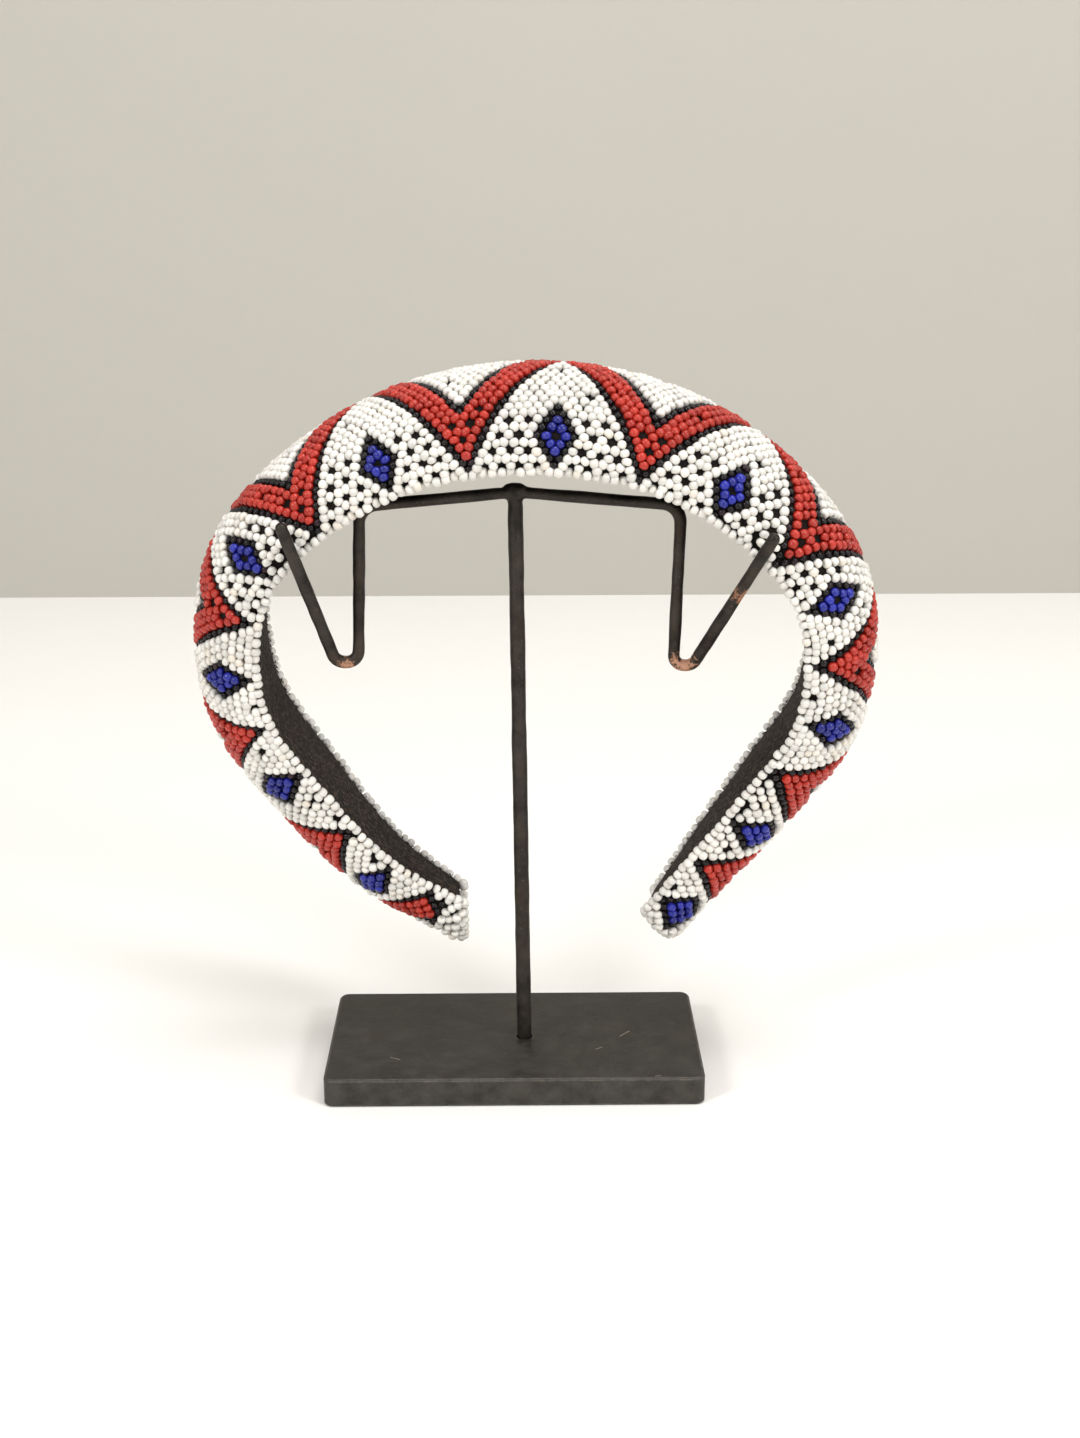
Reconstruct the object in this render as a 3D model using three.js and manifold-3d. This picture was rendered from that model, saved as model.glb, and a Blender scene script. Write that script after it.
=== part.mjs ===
// A padded horseshoe headband with a beaded outer face, hanging on a small welded iron stand.
// Millimetres, +Z up, +X to the viewer's right, -Y towards the viewer.
// The origin is the centre of the base plate's underside.

import * as THREE from 'three';
import { mergeVertices } from 'three/addons/utils/BufferGeometryUtils.js';
import Module from 'manifold-3d';

const wasm = await Module();
wasm.setup();

// Stand sizes
const BASE_WIDTH = 93.4;
const BASE_DEPTH = 50.6;
const BASE_THICKNESS = 7.3;
const BASE_CORNER = 2;
const BASE_EDGE = 0.5;
const ROD = 2.9;
const POST = 3.7;
const POST_HEIGHT = 140;
const POST_X = 2.5;
const POST_Y = -1.5;
const POST_LEAN = 1.6;
const SOCKET_DEPTH = 4.5;
const BAR_DROOP = 3.35;
const BAR_BEND = 60;
const CORNER_RADIUS = 4.5;
const WELD_LENGTH = 7;
const WELD_HEIGHT = 4.6;

// Hook sizes: from the post to the leg, the leg's length and lean to the left, the width of the
// bend under it, and how far the arm spreads, rises and reaches forward.
const HOOK_SPAN = 37.9;
const LEG_LENGTH = 38.1;
const LEG_LEAN = 1.2;
const HOOK_MOUTH = 4.8;
const ARM_ROUND = 0.75;
const ARM_SPREAD = 17.6;
const ARM_RISE = 35.2;
const ARM_REACH = 20.2;

// The two hooks, in shares of those sizes
const HOOKS = [
  { side: -1, span: 0.967, leg: 0.985, mouth: 1.1, spread: 0.93, rise: 1.01, reach: 0.85 },
  { side: 1, span: 1.033, leg: 1.015, mouth: 0.92, spread: 1.07, rise: 1, reach: 1.18 },
];

// Headband sizes
const INNER_RADIUS = 70;
const HALF_WIDTH = 20.5;
const DOME = 16;
const SAG = 5;
const FLARE = 16.5;
const LEAN = 4;
const TURN = 3.4;
const SIDE_SHIFT = 8.3;
const BEADWORK = 2;
const LINING = 1.2;
const CAP_LENGTH = 3.6;
const NET_SLACK = 1.5;
const END_ROUND = 2.5;
const END_SHARE = 0.75;
const LEFT_SLANT = 0.75;
const RIGHT_SLANT = 0.42;
const SLANT_LENGTH = 14;
const GAP = 0.3;

// Sections round the band, by the angle from its top; the other columns are shares of
// INNER_RADIUS, HALF_WIDTH, DOME, SAG and FLARE.
const SECTIONS = [
  { angle: -158, radius: 0.783, width: 0.49, dome: 0.73, sag: 0.05, flare: 0.65 },
  { angle: -135, radius: 0.771, width: 0.67, dome: 0.85, sag: 0.1, flare: 0.42 },
  { angle: -110, radius: 0.81, width: 0.78, dome: 0.99, sag: 0.15, flare: 0.27 },
  { angle: -85, radius: 0.98, width: 0.84, dome: 1.04, sag: 0.2, flare: 0.26 },
  { angle: -60, radius: 1.07, width: 0.88, dome: 1.0, sag: 0.35, flare: 0.6 },
  { angle: -30, radius: 1.017, width: 0.93, dome: 0.98, sag: 0.75, flare: 0.92 },
  { angle: 0, radius: 0.984, width: 1, dome: 0.96, sag: 1, flare: 1 },
  { angle: 30, radius: 0.987, width: 0.93, dome: 0.98, sag: 1, flare: 0.92 },
  { angle: 60, radius: 0.993, width: 0.88, dome: 1.0, sag: 0.45, flare: 0.6 },
  { angle: 85, radius: 0.891, width: 0.84, dome: 1.04, sag: 0.2, flare: 0.26 },
  { angle: 110, radius: 0.74, width: 0.78, dome: 0.99, sag: 0.15, flare: 0.27 },
  { angle: 135, radius: 0.731, width: 0.67, dome: 0.85, sag: 0.1, flare: 0.42 },
  { angle: 154, radius: 0.831, width: 0.49, dome: 0.73, sag: 0.05, flare: 0.65 },
];

// The bead pattern, counted in net columns along the band and net rows from its crown line.
// The zigzag turns at these rows, by turns at the front and at the back edge, from the left end.
const TURN_ROWS = [4, 4, 5, 5, 5, 5, 5, 5, 6, 6, 6, 6, 6, 6, 5, 5, 5, 5, 5, 4, 4, 4];
const LEFT_COLUMNS = 4;
const RIGHT_COLUMNS = 3;
const EDGE_ROWS = 1.5;
const RED_ROWS = 1.35;
const DIAMOND_ROWS = 1.35;
const PATTERN_GAP = 0.18;
const NET_PULL = 1.3;
const PULLS = [0, 0, -0.9, -0.8, -0.95, -0.7, 0.2, 0.3, 0];

// How finely the shapes are cut
const ROD_SIDES = 8;
const BEND_STEPS = 4;
const SPLITS = 4;
const GROUND_STRIPS = 5;
const RED_STRIPS = 2;
const PAD_ROUND = 10;
const PAD_STATIONS = 40;
const SAMPLES = 600;

const rad = THREE.MathUtils.degToRad;

// Materials
function paint(color, roughness, metalness = 0) {
  return new THREE.MeshStandardMaterial({ color, roughness, metalness });
}

const iron = paint('#3d3a34', 0.62, 0.6);
const whiteBeads = paint('#e9e4d6', 0.3);
const redBeads = paint('#c0322c', 0.3);
const blueBeads = paint('#2a2aa8', 0.28);
const blackCloth = paint('#2b2724', 0.95);

// Solids for cutting and joining
function toSolid(geometry) {
  const bare = geometry.clone();
  bare.deleteAttribute('normal');
  bare.deleteAttribute('uv');
  const merged = mergeVertices(bare, 1e-4);
  const mesh = new wasm.Mesh({
    numProp: 3,
    vertProperties: new Float32Array(merged.attributes.position.array),
    triVerts: new Uint32Array(merged.index.array),
  });
  return new wasm.Manifold(mesh);
}

// Corners closer together than this, which a cut leaves, become one, and a flap that closes on
// itself goes.
const SMALLEST_DETAIL = 0.02;

function toGeometry(solid) {
  const mesh = solid.getMesh();
  const cut = new THREE.BufferGeometry();
  cut.setAttribute('position', new THREE.BufferAttribute(mesh.vertProperties, 3));
  cut.setIndex(new THREE.BufferAttribute(mesh.triVerts, 1));
  const geometry = mergeVertices(cut, SMALLEST_DETAIL);
  const faces = new Map();
  for (let i = 0; i < mesh.triVerts.length; i += 3) {
    const face = [0, 1, 2].map((k) => geometry.index.getX(i + k));
    const key = face.slice().sort((a, b) => a - b).join();
    if (new Set(face).size < 3) continue;
    if (faces.has(key)) faces.delete(key);
    else faces.set(key, face);
  }
  geometry.setIndex([...faces.values()].flat());
  geometry.computeVertexNormals();
  return geometry;
}

function part(name, geometry, material) {
  const mesh = new THREE.Mesh(geometry, material);
  mesh.name = name;
  return mesh;
}

// A closed loft: each ring has the same number of points, and the first and last are capped by a fan.
function loft(rings) {
  const sides = rings[0].length;
  const points = rings.flat();
  const faces = [];
  for (let i = 0; i + 1 < rings.length; i += 1) {
    for (let j = 0; j < sides; j += 1) {
      const a = i * sides + j;
      const b = i * sides + ((j + 1) % sides);
      const [c, d] = [a + sides, b + sides];
      if (points[b].distanceTo(points[c]) < points[a].distanceTo(points[d])) {
        faces.push(a, b, c, b, d, c);
      } else {
        faces.push(a, b, d, a, d, c);
      }
    }
  }
  [0, rings.length - 1].forEach((i) => {
    const middle = new THREE.Vector3();
    rings[i].forEach((p) => middle.addScaledVector(p, 1 / sides));
    const centre = points.push(middle) - 1;
    for (let j = 0; j < sides; j += 1) {
      const a = i * sides + j;
      const b = i * sides + ((j + 1) % sides);
      faces.push(...(i === 0 ? [b, a, centre] : [a, b, centre]));
    }
  });
  return closed(points, faces);
}

// A geometry whose faces point out, whichever way round they were listed.
function closed(points, faces) {
  let volume = 0;
  for (let k = 0; k < faces.length; k += 3) {
    const [a, b, c] = faces.slice(k, k + 3).map((i) => points[i]);
    volume += a.dot(new THREE.Vector3().crossVectors(b, c));
  }
  const index = volume > 0 ? faces : faces.slice().reverse();
  const geometry = new THREE.BufferGeometry().setFromPoints(points);
  geometry.setIndex(index);
  geometry.computeVertexNormals();
  return geometry;
}

// A bent rod: straight runs between corners that are rounded to a radius.
class RodPath extends THREE.Curve {
  constructor(stations) {
    super();
    this.stations = stations;
  }

  getPoint(t, target = new THREE.Vector3()) {
    const at = t * (this.stations.length - 1);
    const i = Math.min(Math.floor(at), this.stations.length - 2);
    return target.lerpVectors(this.stations[i], this.stations[i + 1], at - i);
  }

  getPointAt(t, target) {
    return this.getPoint(t, target);
  }

  getTangentAt(t, target = new THREE.Vector3()) {
    const step = 0.5 / (this.stations.length - 1);
    const ahead = this.getPoint(Math.min(t + step, 1));
    return target.copy(ahead).sub(this.getPoint(Math.max(t - step, 0))).normalize();
  }
}

function roundedStations(corners) {
  const stations = [corners[0].point];
  for (let i = 1; i + 1 < corners.length; i += 1) {
    const { point, radius } = corners[i];
    const back = corners[i - 1].point.clone().sub(point);
    const ahead = corners[i + 1].point.clone().sub(point);
    const half = back.angleTo(ahead) / 2;
    const setback = Math.min(radius / Math.tan(half), back.length() * 0.48, ahead.length() * 0.48);
    back.normalize();
    ahead.normalize();
    const bow = setback * Math.tan(half);
    const centre = back.clone().add(ahead).normalize().multiplyScalar(bow / Math.sin(half)).add(point);
    const from = back.multiplyScalar(setback).add(point).sub(centre);
    const to = ahead.multiplyScalar(setback).add(point).sub(centre);
    const sweep = from.angleTo(to);
    for (let k = 0; k <= BEND_STEPS; k += 1) {
      const share = k / BEND_STEPS;
      const spot = from.clone().multiplyScalar(Math.sin((1 - share) * sweep))
        .addScaledVector(to, Math.sin(share * sweep)).divideScalar(Math.sin(sweep));
      stations.push(spot.add(centre));
    }
  }
  stations.push(corners[corners.length - 1].point);
  return stations;
}

function rodSolid(stations, diameter) {
  const circle = new THREE.Shape();
  circle.absarc(0, 0, diameter / 2, 0, Math.PI * 2, false);
  return toSolid(new THREE.ExtrudeGeometry(circle, {
    steps: stations.length - 1,
    curveSegments: ROD_SIDES / 2,
    extrudePath: new RodPath(stations),
  }));
}

function ballSolid(centre, radius, stretch = [1, 1, 1]) {
  const ball = new THREE.SphereGeometry(radius, ROD_SIDES, 6);
  ball.scale(...stretch);
  ball.translate(centre.x, centre.y, centre.z);
  return toSolid(ball);
}

// The stand: plate, post, crossbar and hooks
const barZ = BASE_THICKNESS + POST_HEIGHT;
const postTop = new THREE.Vector3(POST_X - POST_LEAN, POST_Y, barZ);
const postFoot = new THREE.Vector3(POST_X, POST_Y, BASE_THICKNESS);

function makeBase() {
  const half = { x: BASE_WIDTH / 2 - BASE_EDGE, y: BASE_DEPTH / 2 - BASE_EDGE };
  const plate = new THREE.Shape();
  plate.absarc(half.x - BASE_CORNER, half.y - BASE_CORNER, BASE_CORNER, 0, rad(90));
  plate.absarc(BASE_CORNER - half.x, half.y - BASE_CORNER, BASE_CORNER, rad(90), rad(180));
  plate.absarc(BASE_CORNER - half.x, BASE_CORNER - half.y, BASE_CORNER, rad(180), rad(270));
  plate.absarc(half.x - BASE_CORNER, BASE_CORNER - half.y, BASE_CORNER, rad(270), rad(360));
  const slab = new THREE.ExtrudeGeometry(plate, {
    depth: BASE_THICKNESS - 2 * BASE_EDGE,
    curveSegments: 3,
    bevelThickness: BASE_EDGE,
    bevelSize: BASE_EDGE,
    bevelSegments: 1,
  });
  slab.translate(0, 0, BASE_EDGE);
  const drill = new THREE.CylinderGeometry(POST / 2 + GAP, POST / 2 + GAP, SOCKET_DEPTH * 2, 16);
  drill.rotateX(rad(90));
  drill.translate(postFoot.x, postFoot.y, postFoot.z);
  return part('stand_base', toGeometry(toSolid(slab).subtract(toSolid(drill))), iron);
}

function hookCorners(hook) {
  const legX = postTop.x + hook.side * hook.span * HOOK_SPAN;
  const high = barZ - BAR_DROOP;
  const low = high - hook.leg * LEG_LENGTH;
  const mouth = hook.mouth * HOOK_MOUTH;
  const at = (x, y, z, radius) => ({ point: new THREE.Vector3(x, y, z), radius });
  return [
    at(legX, POST_Y, high, CORNER_RADIUS),
    at(legX - LEG_LEAN, POST_Y, low, mouth / 2),
    at(legX - LEG_LEAN + hook.side * mouth, POST_Y - ROD / 2, low, mouth * ARM_ROUND),
    at(
      legX + hook.side * hook.spread * ARM_SPREAD,
      POST_Y - hook.reach * ARM_REACH,
      low + hook.rise * ARM_RISE,
      0,
    ),
  ];
}

function barStations() {
  const [left, right] = HOOKS.map(hookCorners);
  const arch = { point: postTop, radius: BAR_BEND };
  return roundedStations([...left.reverse(), arch, ...right]);
}

function makeFrame() {
  const stations = barStations();
  const tips = [stations[0], stations[stations.length - 1]];
  const sunk = postFoot.clone().setZ(postFoot.z - SOCKET_DEPTH + GAP);
  let frame = rodSolid(stations, ROD)
    .add(rodSolid([sunk, postFoot, postTop], POST))
    .add(ballSolid(postTop, WELD_HEIGHT / 2, [WELD_LENGTH / WELD_HEIGHT, 0.8, 1]));
  tips.forEach((tip) => {
    frame = frame.add(ballSolid(tip, ROD / 2));
  });
  return part('stand_frame', toGeometry(frame), iron);
}

// The band's own frame: x along its level axis, y from the front edge to the back, z up its plane.
const inner = new THREE.CatmullRomCurve3(SECTIONS.map((row) => new THREE.Vector3(
  Math.sin(rad(row.angle)) * row.radius * INNER_RADIUS,
  0,
  Math.cos(rad(row.angle)) * row.radius * INNER_RADIUS,
)), false, 'catmullrom');
const girth = new THREE.CatmullRomCurve3(SECTIONS.map((row) => new THREE.Vector3(
  row.width * HALF_WIDTH,
  row.dome * DOME,
  row.flare * FLARE,
)), false, 'catmullrom');
const sagging = new THREE.CatmullRomCurve3(SECTIONS.map((row) => new THREE.Vector3(
  row.sag * SAG,
  0,
  0,
)), false, 'catmullrom');

// A section of the band at share t of the curve, with its place and its own two directions.
function sectionAt(t) {
  const tangent = inner.getTangent(t);
  const size = girth.getPoint(t);
  const out = new THREE.Vector3(-tangent.z, 0, tangent.x);
  const depth = new THREE.Vector3(0, 1, 0);
  const tilt = rad(size.z);
  return {
    origin: inner.getPoint(t),
    across: depth.clone().multiplyScalar(Math.cos(tilt)).addScaledVector(out, Math.sin(tilt)),
    up: out.clone().multiplyScalar(Math.cos(tilt)).addScaledVector(depth, -Math.sin(tilt)),
    along: tangent,
    width: size.x,
    dome: size.y,
    sag: sagging.getPoint(t).x,
  };
}

function spot(section, across, up) {
  return section.origin.clone()
    .addScaledVector(section.across, across)
    .addScaledVector(section.up, up);
}

// Length along the crown line at evenly spaced shares of the curve
const crown = [0];
for (let i = 1; i <= SAMPLES; i += 1) {
  const [before, now] = [i - 1, i].map((k) => {
    const section = sectionAt(k / SAMPLES);
    return spot(section, 0, section.dome);
  });
  crown.push(crown[i - 1] + before.distanceTo(now));
}
const CROWN_LENGTH = crown[SAMPLES];

// The section at a length along the crown. The last stretch at each end is rounded off, and slants
// so that the crown reaches further than the lining.
function sectionAlong(length) {
  const high = Math.max(1, crown.findIndex((value) => value >= length));
  const share = (length - crown[high - 1]) / (crown[high] - crown[high - 1]);
  const section = sectionAt((high - 1 + Math.min(share, 1)) / SAMPLES);
  const toEnd = Math.min(length, CROWN_LENGTH - length, END_ROUND) / END_ROUND;
  const swell = Math.sqrt(END_SHARE ** 2 + (1 - END_SHARE ** 2) * (1 - (1 - toEnd) ** 2));
  const atLeft = Math.max(1 - length / SLANT_LENGTH, 0) ** 2;
  const atRight = Math.max(1 - (CROWN_LENGTH - length) / SLANT_LENGTH, 0) ** 2;
  return {
    ...section,
    up: section.up.clone().addScaledVector(section.along, atRight * RIGHT_SLANT - atLeft * LEFT_SLANT),
    width: section.width * swell,
    dome: section.dome * swell,
    sag: section.sag * swell,
  };
}

// The dome at a place from -1, the front edge, to 1, the back edge, measured along its surface.
const ARC_STEPS = 24;

function domeArc(section) {
  const arc = [0];
  for (let i = 1; i <= ARC_STEPS; i += 1) {
    const [a, b] = [i - 1, i].map((k) => (Math.PI * k) / ARC_STEPS);
    const run = section.width * (Math.cos(a) - Math.cos(b));
    const climb = section.dome * (Math.sin(b) - Math.sin(a));
    arc.push(arc[i - 1] + Math.hypot(run, climb));
  }
  return arc;
}

function domePoint(section, place, inset) {
  const arc = domeArc(section);
  const wanted = ((place + 1) / 2) * arc[ARC_STEPS];
  const high = Math.max(1, arc.findIndex((value) => value >= wanted - 1e-9));
  const angle = (Math.PI * (high - 1 + (wanted - arc[high - 1]) / (arc[high] - arc[high - 1]))) / ARC_STEPS;
  const normal = new THREE.Vector2(-Math.cos(angle) / section.width, Math.sin(angle) / section.dome);
  normal.normalize().multiplyScalar(inset);
  return spot(
    section,
    -section.width * Math.cos(angle) - normal.x,
    Math.max(section.dome * Math.sin(angle) - normal.y, 0),
  );
}

// Pattern places: the turns' columns, and the zigzag's row and the edge's row at any column.
const turns = TURN_ROWS.reduce((list, rows, i) => {
  const column = i === 0 ? 0 : list[i - 1].column + TURN_ROWS[i - 1] + rows - 2;
  return [...list, { column, rows, side: i % 2 === 0 ? -1 : 1 }];
}, []);
const lastColumn = turns[turns.length - 1].column;
const COLUMN = CROWN_LENGTH / (LEFT_COLUMNS + lastColumn + RIGHT_COLUMNS);

function between(column, value) {
  const next = turns.findIndex((turn) => turn.column >= column);
  const high = next < 0 ? turns.length - 1 : Math.max(next, 1);
  const [a, b] = [turns[high - 1], turns[high]];
  const share = (column - a.column) / (b.column - a.column);
  return value(a) + (value(b) - value(a)) * share;
}

const edgeRow = (column) => EDGE_ROWS
  + between(Math.min(Math.max(column, 0), lastColumn), (turn) => turn.rows);

const zigzagRow = (column) => between(
  Math.min(Math.max(column, 0), lastColumn),
  (turn) => turn.side * (turn.rows - 1),
);

// The beadwork is pulled a little to the left over the crown and to the right on the right leg.
function pulled(column) {
  const share = (column + LEFT_COLUMNS) / (LEFT_COLUMNS + lastColumn + RIGHT_COLUMNS);
  const pull = new THREE.CatmullRomCurve3(PULLS.map((value) => new THREE.Vector3(value, 0, 0)));
  pull.curveType = 'catmullrom';
  return pull.getPoint(THREE.MathUtils.clamp(share, 0, 1)).x * NET_PULL;
}

const lengthAt = (column) => (column + LEFT_COLUMNS + pulled(column)) * COLUMN;
const columnAt = (length) => length / COLUMN - LEFT_COLUMNS;

function netPoint(column, row, inset) {
  const place = Math.min(Math.max(row / edgeRow(column), -1), 1);
  return domePoint(sectionAlong(lengthAt(column)), place, inset);
}

// Columns at which a ribbon of beadwork is cut: every turn, and evenly between two turns.
function ribbonColumns() {
  const from = columnAt(CAP_LENGTH + GAP);
  const to = columnAt(CROWN_LENGTH - CAP_LENGTH - GAP);
  const columns = [from];
  for (let i = 0; i + 1 < turns.length; i += 1) {
    for (let k = 0; k < SPLITS; k += 1) {
      columns.push(THREE.MathUtils.lerp(turns[i].column, turns[i + 1].column, k / SPLITS));
    }
  }
  columns.push(lastColumn, to);
  return columns.filter((column) => column >= from && column <= to);
}

// A ribbon of beadwork that lies between two rows, each a function of the column.
function ribbon(low, high, strips) {
  const rings = ribbonColumns().map((column) => {
    const ring = [];
    for (let i = 0; i <= strips; i += 1) {
      ring.push(netPoint(column, THREE.MathUtils.lerp(low(column), high(column), i / strips), 0));
    }
    for (let i = strips; i >= 0; i -= 1) {
      ring.push(netPoint(column, THREE.MathUtils.lerp(low(column), high(column), i / strips), BEADWORK));
    }
    return ring;
  });
  return loft(rings);
}

// A rhombus block of the net, centred on one mesh. Its sides are straight in columns and rows.
function rhombus(turn, halfRows, lift, sink) {
  const centreRow = -turn.side * (turn.rows - 1);
  const corners = [[-1, 0], [0, -1], [1, 0], [0, 1]];
  const rim = [];
  corners.forEach(([x, y], i) => {
    const [nextX, nextY] = corners[(i + 1) % corners.length];
    rim.push([x, y], [(x + nextX) / 2, (y + nextY) / 2]);
  });
  const layer = (inset) => rim.map(([x, y]) => netPoint(
    turn.column + x * halfRows,
    centreRow + y * halfRows,
    inset,
  ));
  const centre = (inset) => netPoint(turn.column, centreRow, inset);
  const points = [...layer(-lift), ...layer(BEADWORK + sink), centre(-lift), centre(BEADWORK + sink)];
  const n = rim.length;
  const faces = [];
  for (let i = 0; i < n; i += 1) {
    const j = (i + 1) % n;
    faces.push(i, j, n * 2, j + n, i + n, n * 2 + 1, i, i + n, j, j, i + n, j + n);
  }
  return closed(points, faces);
}

const redFront = (column) => zigzagRow(column) - RED_ROWS;
const redBack = (column) => zigzagRow(column) + RED_ROWS;

function makeGround(name, low, high, side) {
  let ground = toSolid(ribbon(low, high, GROUND_STRIPS));
  turns.filter((turn) => turn.side === -side).forEach((turn) => {
    ground = ground.subtract(toSolid(rhombus(turn, DIAMOND_ROWS + PATTERN_GAP, 1, 1)));
  });
  return part(name, toGeometry(ground), whiteBeads);
}

function makeDiamonds() {
  return turns.map((turn, i) => {
    const number = String(i + 1).padStart(2, '0');
    const where = turn.side > 0 ? 'front' : 'back';
    return part(`blue_diamond_${where}_${number}`, rhombus(turn, DIAMOND_ROWS, 0, 0), blueBeads);
  });
}

function makeBeadwork() {
  const edgeFront = (column) => -edgeRow(column);
  const whiteFront = (column) => redFront(column) - PATTERN_GAP;
  const whiteBack = (column) => redBack(column) + PATTERN_GAP;
  return [
    makeGround('white_ground_front', edgeFront, whiteFront, -1),
    part('red_zigzag', ribbon(redFront, redBack, RED_STRIPS), redBeads),
    makeGround('white_ground_back', whiteBack, edgeRow, 1),
    ...makeDiamonds(),
  ];
}

// The white beaded ends: a full dome that closes over each end of the band.
function makeEnd(name, from, to) {
  const steps = 4;
  const rings = [];
  for (let i = 0; i <= steps; i += 1) {
    const section = sectionAlong(THREE.MathUtils.lerp(from, to, i / steps));
    const ring = [];
    for (let k = 0; k <= PAD_ROUND; k += 1) {
      const angle = (Math.PI * k) / PAD_ROUND;
      ring.push(spot(section, -section.width * Math.cos(angle), section.dome * Math.sin(angle)));
    }
    rings.push(ring);
  }
  return part(name, loft(rings), whiteBeads);
}

// The inner face bulges by its sag, most at mid-depth.
function innerFace(section, share, lift) {
  const reach = section.width - BEADWORK - 2 * GAP;
  return spot(section, reach * share, lift - section.sag * (1 - share ** 2));
}

function padRing(section) {
  const ring = [];
  const reach = section.width - BEADWORK - NET_SLACK;
  const height = section.dome - BEADWORK - NET_SLACK;
  const floor = LINING + GAP;
  for (let k = 0; k <= PAD_ROUND; k += 1) {
    const angle = (Math.PI * k) / PAD_ROUND;
    ring.push(spot(section, -reach * Math.cos(angle), floor + (height - floor) * Math.sin(angle)));
  }
  [0.5, 0, -0.5].forEach((share) => ring.push(innerFace(section, share, floor)));
  return ring;
}

function liningRing(section) {
  const shares = [-1, -0.5, 0, 0.5, 1];
  return [
    ...shares.map((share) => innerFace(section, share, 0)),
    ...shares.slice().reverse().map((share) => innerFace(section, share, LINING)),
  ];
}

function alongBand(ring, count) {
  const from = CAP_LENGTH + GAP;
  const rings = [];
  for (let i = 0; i <= count; i += 1) {
    const length = THREE.MathUtils.lerp(from, CROWN_LENGTH - from, i / count);
    rings.push(ring(sectionAlong(length)));
  }
  return loft(rings);
}

// Seating: the band is slid back until the arms clear its front edge, and down on to the bar.
const bandTurn = new THREE.Euler(rad(LEAN), 0, -rad(TURN), 'ZYX');

// How far the points must move along an axis to leave the rods by their radius and the gap.
function clearance(points, rods, move, axis) {
  const reach = ROD / 2 + GAP;
  const others = ['x', 'y', 'z'].filter((name) => name !== axis);
  let need = -Infinity;
  points.forEach((point) => {
    rods.forEach((rod) => {
      const off = Math.hypot(...others.map((name) => point[name] + move[name] - rod[name]));
      if (off < reach) {
        need = Math.max(need, Math.sqrt(reach ** 2 - off ** 2) - (point[axis] + move[axis] - rod[axis]));
      }
    });
  });
  return Number.isFinite(need) ? need : 0;
}

function fineStations(from, to, step) {
  const count = Math.ceil(from.distanceTo(to) / step);
  return Array.from({ length: count + 1 }, (_, i) => from.clone().lerp(to, i / count));
}

function seat() {
  const face = [];
  const front = [];
  for (let length = 0; length <= CROWN_LENGTH; length += 1) {
    const section = sectionAlong(length);
    for (let share = -1; share <= 1; share += 0.04) {
      face.push(innerFace(section, share, 0));
    }
    for (let place = -1; place <= -0.3; place += 0.05) {
      front.push(domePoint(section, place, 0));
    }
  }
  const crownFace = face.filter((point) => point.z > 0);
  [...face, ...front].forEach((point) => point.applyEuler(bandTurn));
  const stations = barStations();
  const arms = [fineStations(stations[0], stations[1], 0.6),
    fineStations(stations[stations.length - 2], stations[stations.length - 1], 0.6)].flat();
  const bar = stations.slice(1, -1).filter((point) => point.z > barZ - CORNER_RADIUS - BAR_DROOP)
    .flatMap((point, i, list) => (i + 1 < list.length ? fineStations(point, list[i + 1], 0.6) : []));
  const move = new THREE.Vector3(SIDE_SHIFT, 0, barZ - INNER_RADIUS);
  for (let round = 0; round < 4; round += 1) {
    move.z += clearance(crownFace, bar, move, 'z');
    move.y += clearance(front, arms, move, 'y');
  }
  return move;
}

function makeBand() {
  const band = new THREE.Group();
  band.rotation.copy(bandTurn);
  band.position.copy(seat());
  band.add(
    part('band_pad', alongBand(padRing, PAD_STATIONS), blackCloth),
    part('band_lining', alongBand(liningRing, PAD_STATIONS), blackCloth),
    makeEnd('bead_end_left', 0, CAP_LENGTH),
    makeEnd('bead_end_right', CROWN_LENGTH - CAP_LENGTH, CROWN_LENGTH),
    ...makeBeadwork(),
  );
  return band;
}

const headbandOnStand = new THREE.Group();
headbandOnStand.add(makeBase(), makeFrame(), makeBand());

export default headbandOnStand;
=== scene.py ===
"""Looks of a beaded headband on its iron stand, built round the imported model.

Lengths in the tables and curves are in millimetres. Settings and meshes are in metres, in the frame
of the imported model: +Z up, +X to the viewer's right, -Y towards the viewer.
"""

import math

import bpy
import numpy as np
from mathutils import Matrix, Vector


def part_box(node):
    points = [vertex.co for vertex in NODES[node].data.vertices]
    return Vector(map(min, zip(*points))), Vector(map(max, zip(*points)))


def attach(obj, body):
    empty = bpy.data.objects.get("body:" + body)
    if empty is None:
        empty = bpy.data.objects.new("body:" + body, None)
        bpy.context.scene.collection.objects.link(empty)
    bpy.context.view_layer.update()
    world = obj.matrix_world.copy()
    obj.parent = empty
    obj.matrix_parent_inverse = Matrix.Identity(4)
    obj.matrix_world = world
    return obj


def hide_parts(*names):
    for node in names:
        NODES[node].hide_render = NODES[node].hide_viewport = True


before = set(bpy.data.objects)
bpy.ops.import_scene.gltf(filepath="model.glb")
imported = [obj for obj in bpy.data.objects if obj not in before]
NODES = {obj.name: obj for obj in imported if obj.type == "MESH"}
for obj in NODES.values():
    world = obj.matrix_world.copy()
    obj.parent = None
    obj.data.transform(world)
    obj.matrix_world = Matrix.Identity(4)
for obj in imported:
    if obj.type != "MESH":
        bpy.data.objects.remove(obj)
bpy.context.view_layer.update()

bl_info = {
    "name": "Beaded headband on stand",
    "version": (1, 0, 0),
    "blender": (4, 5, 0),
    "location": "View3D > Sidebar > Headband",
    "description": "Builds a beaded headband, its cloth, its iron stand and the studio",
    "category": "Object",
}

MM = 0.001

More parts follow.
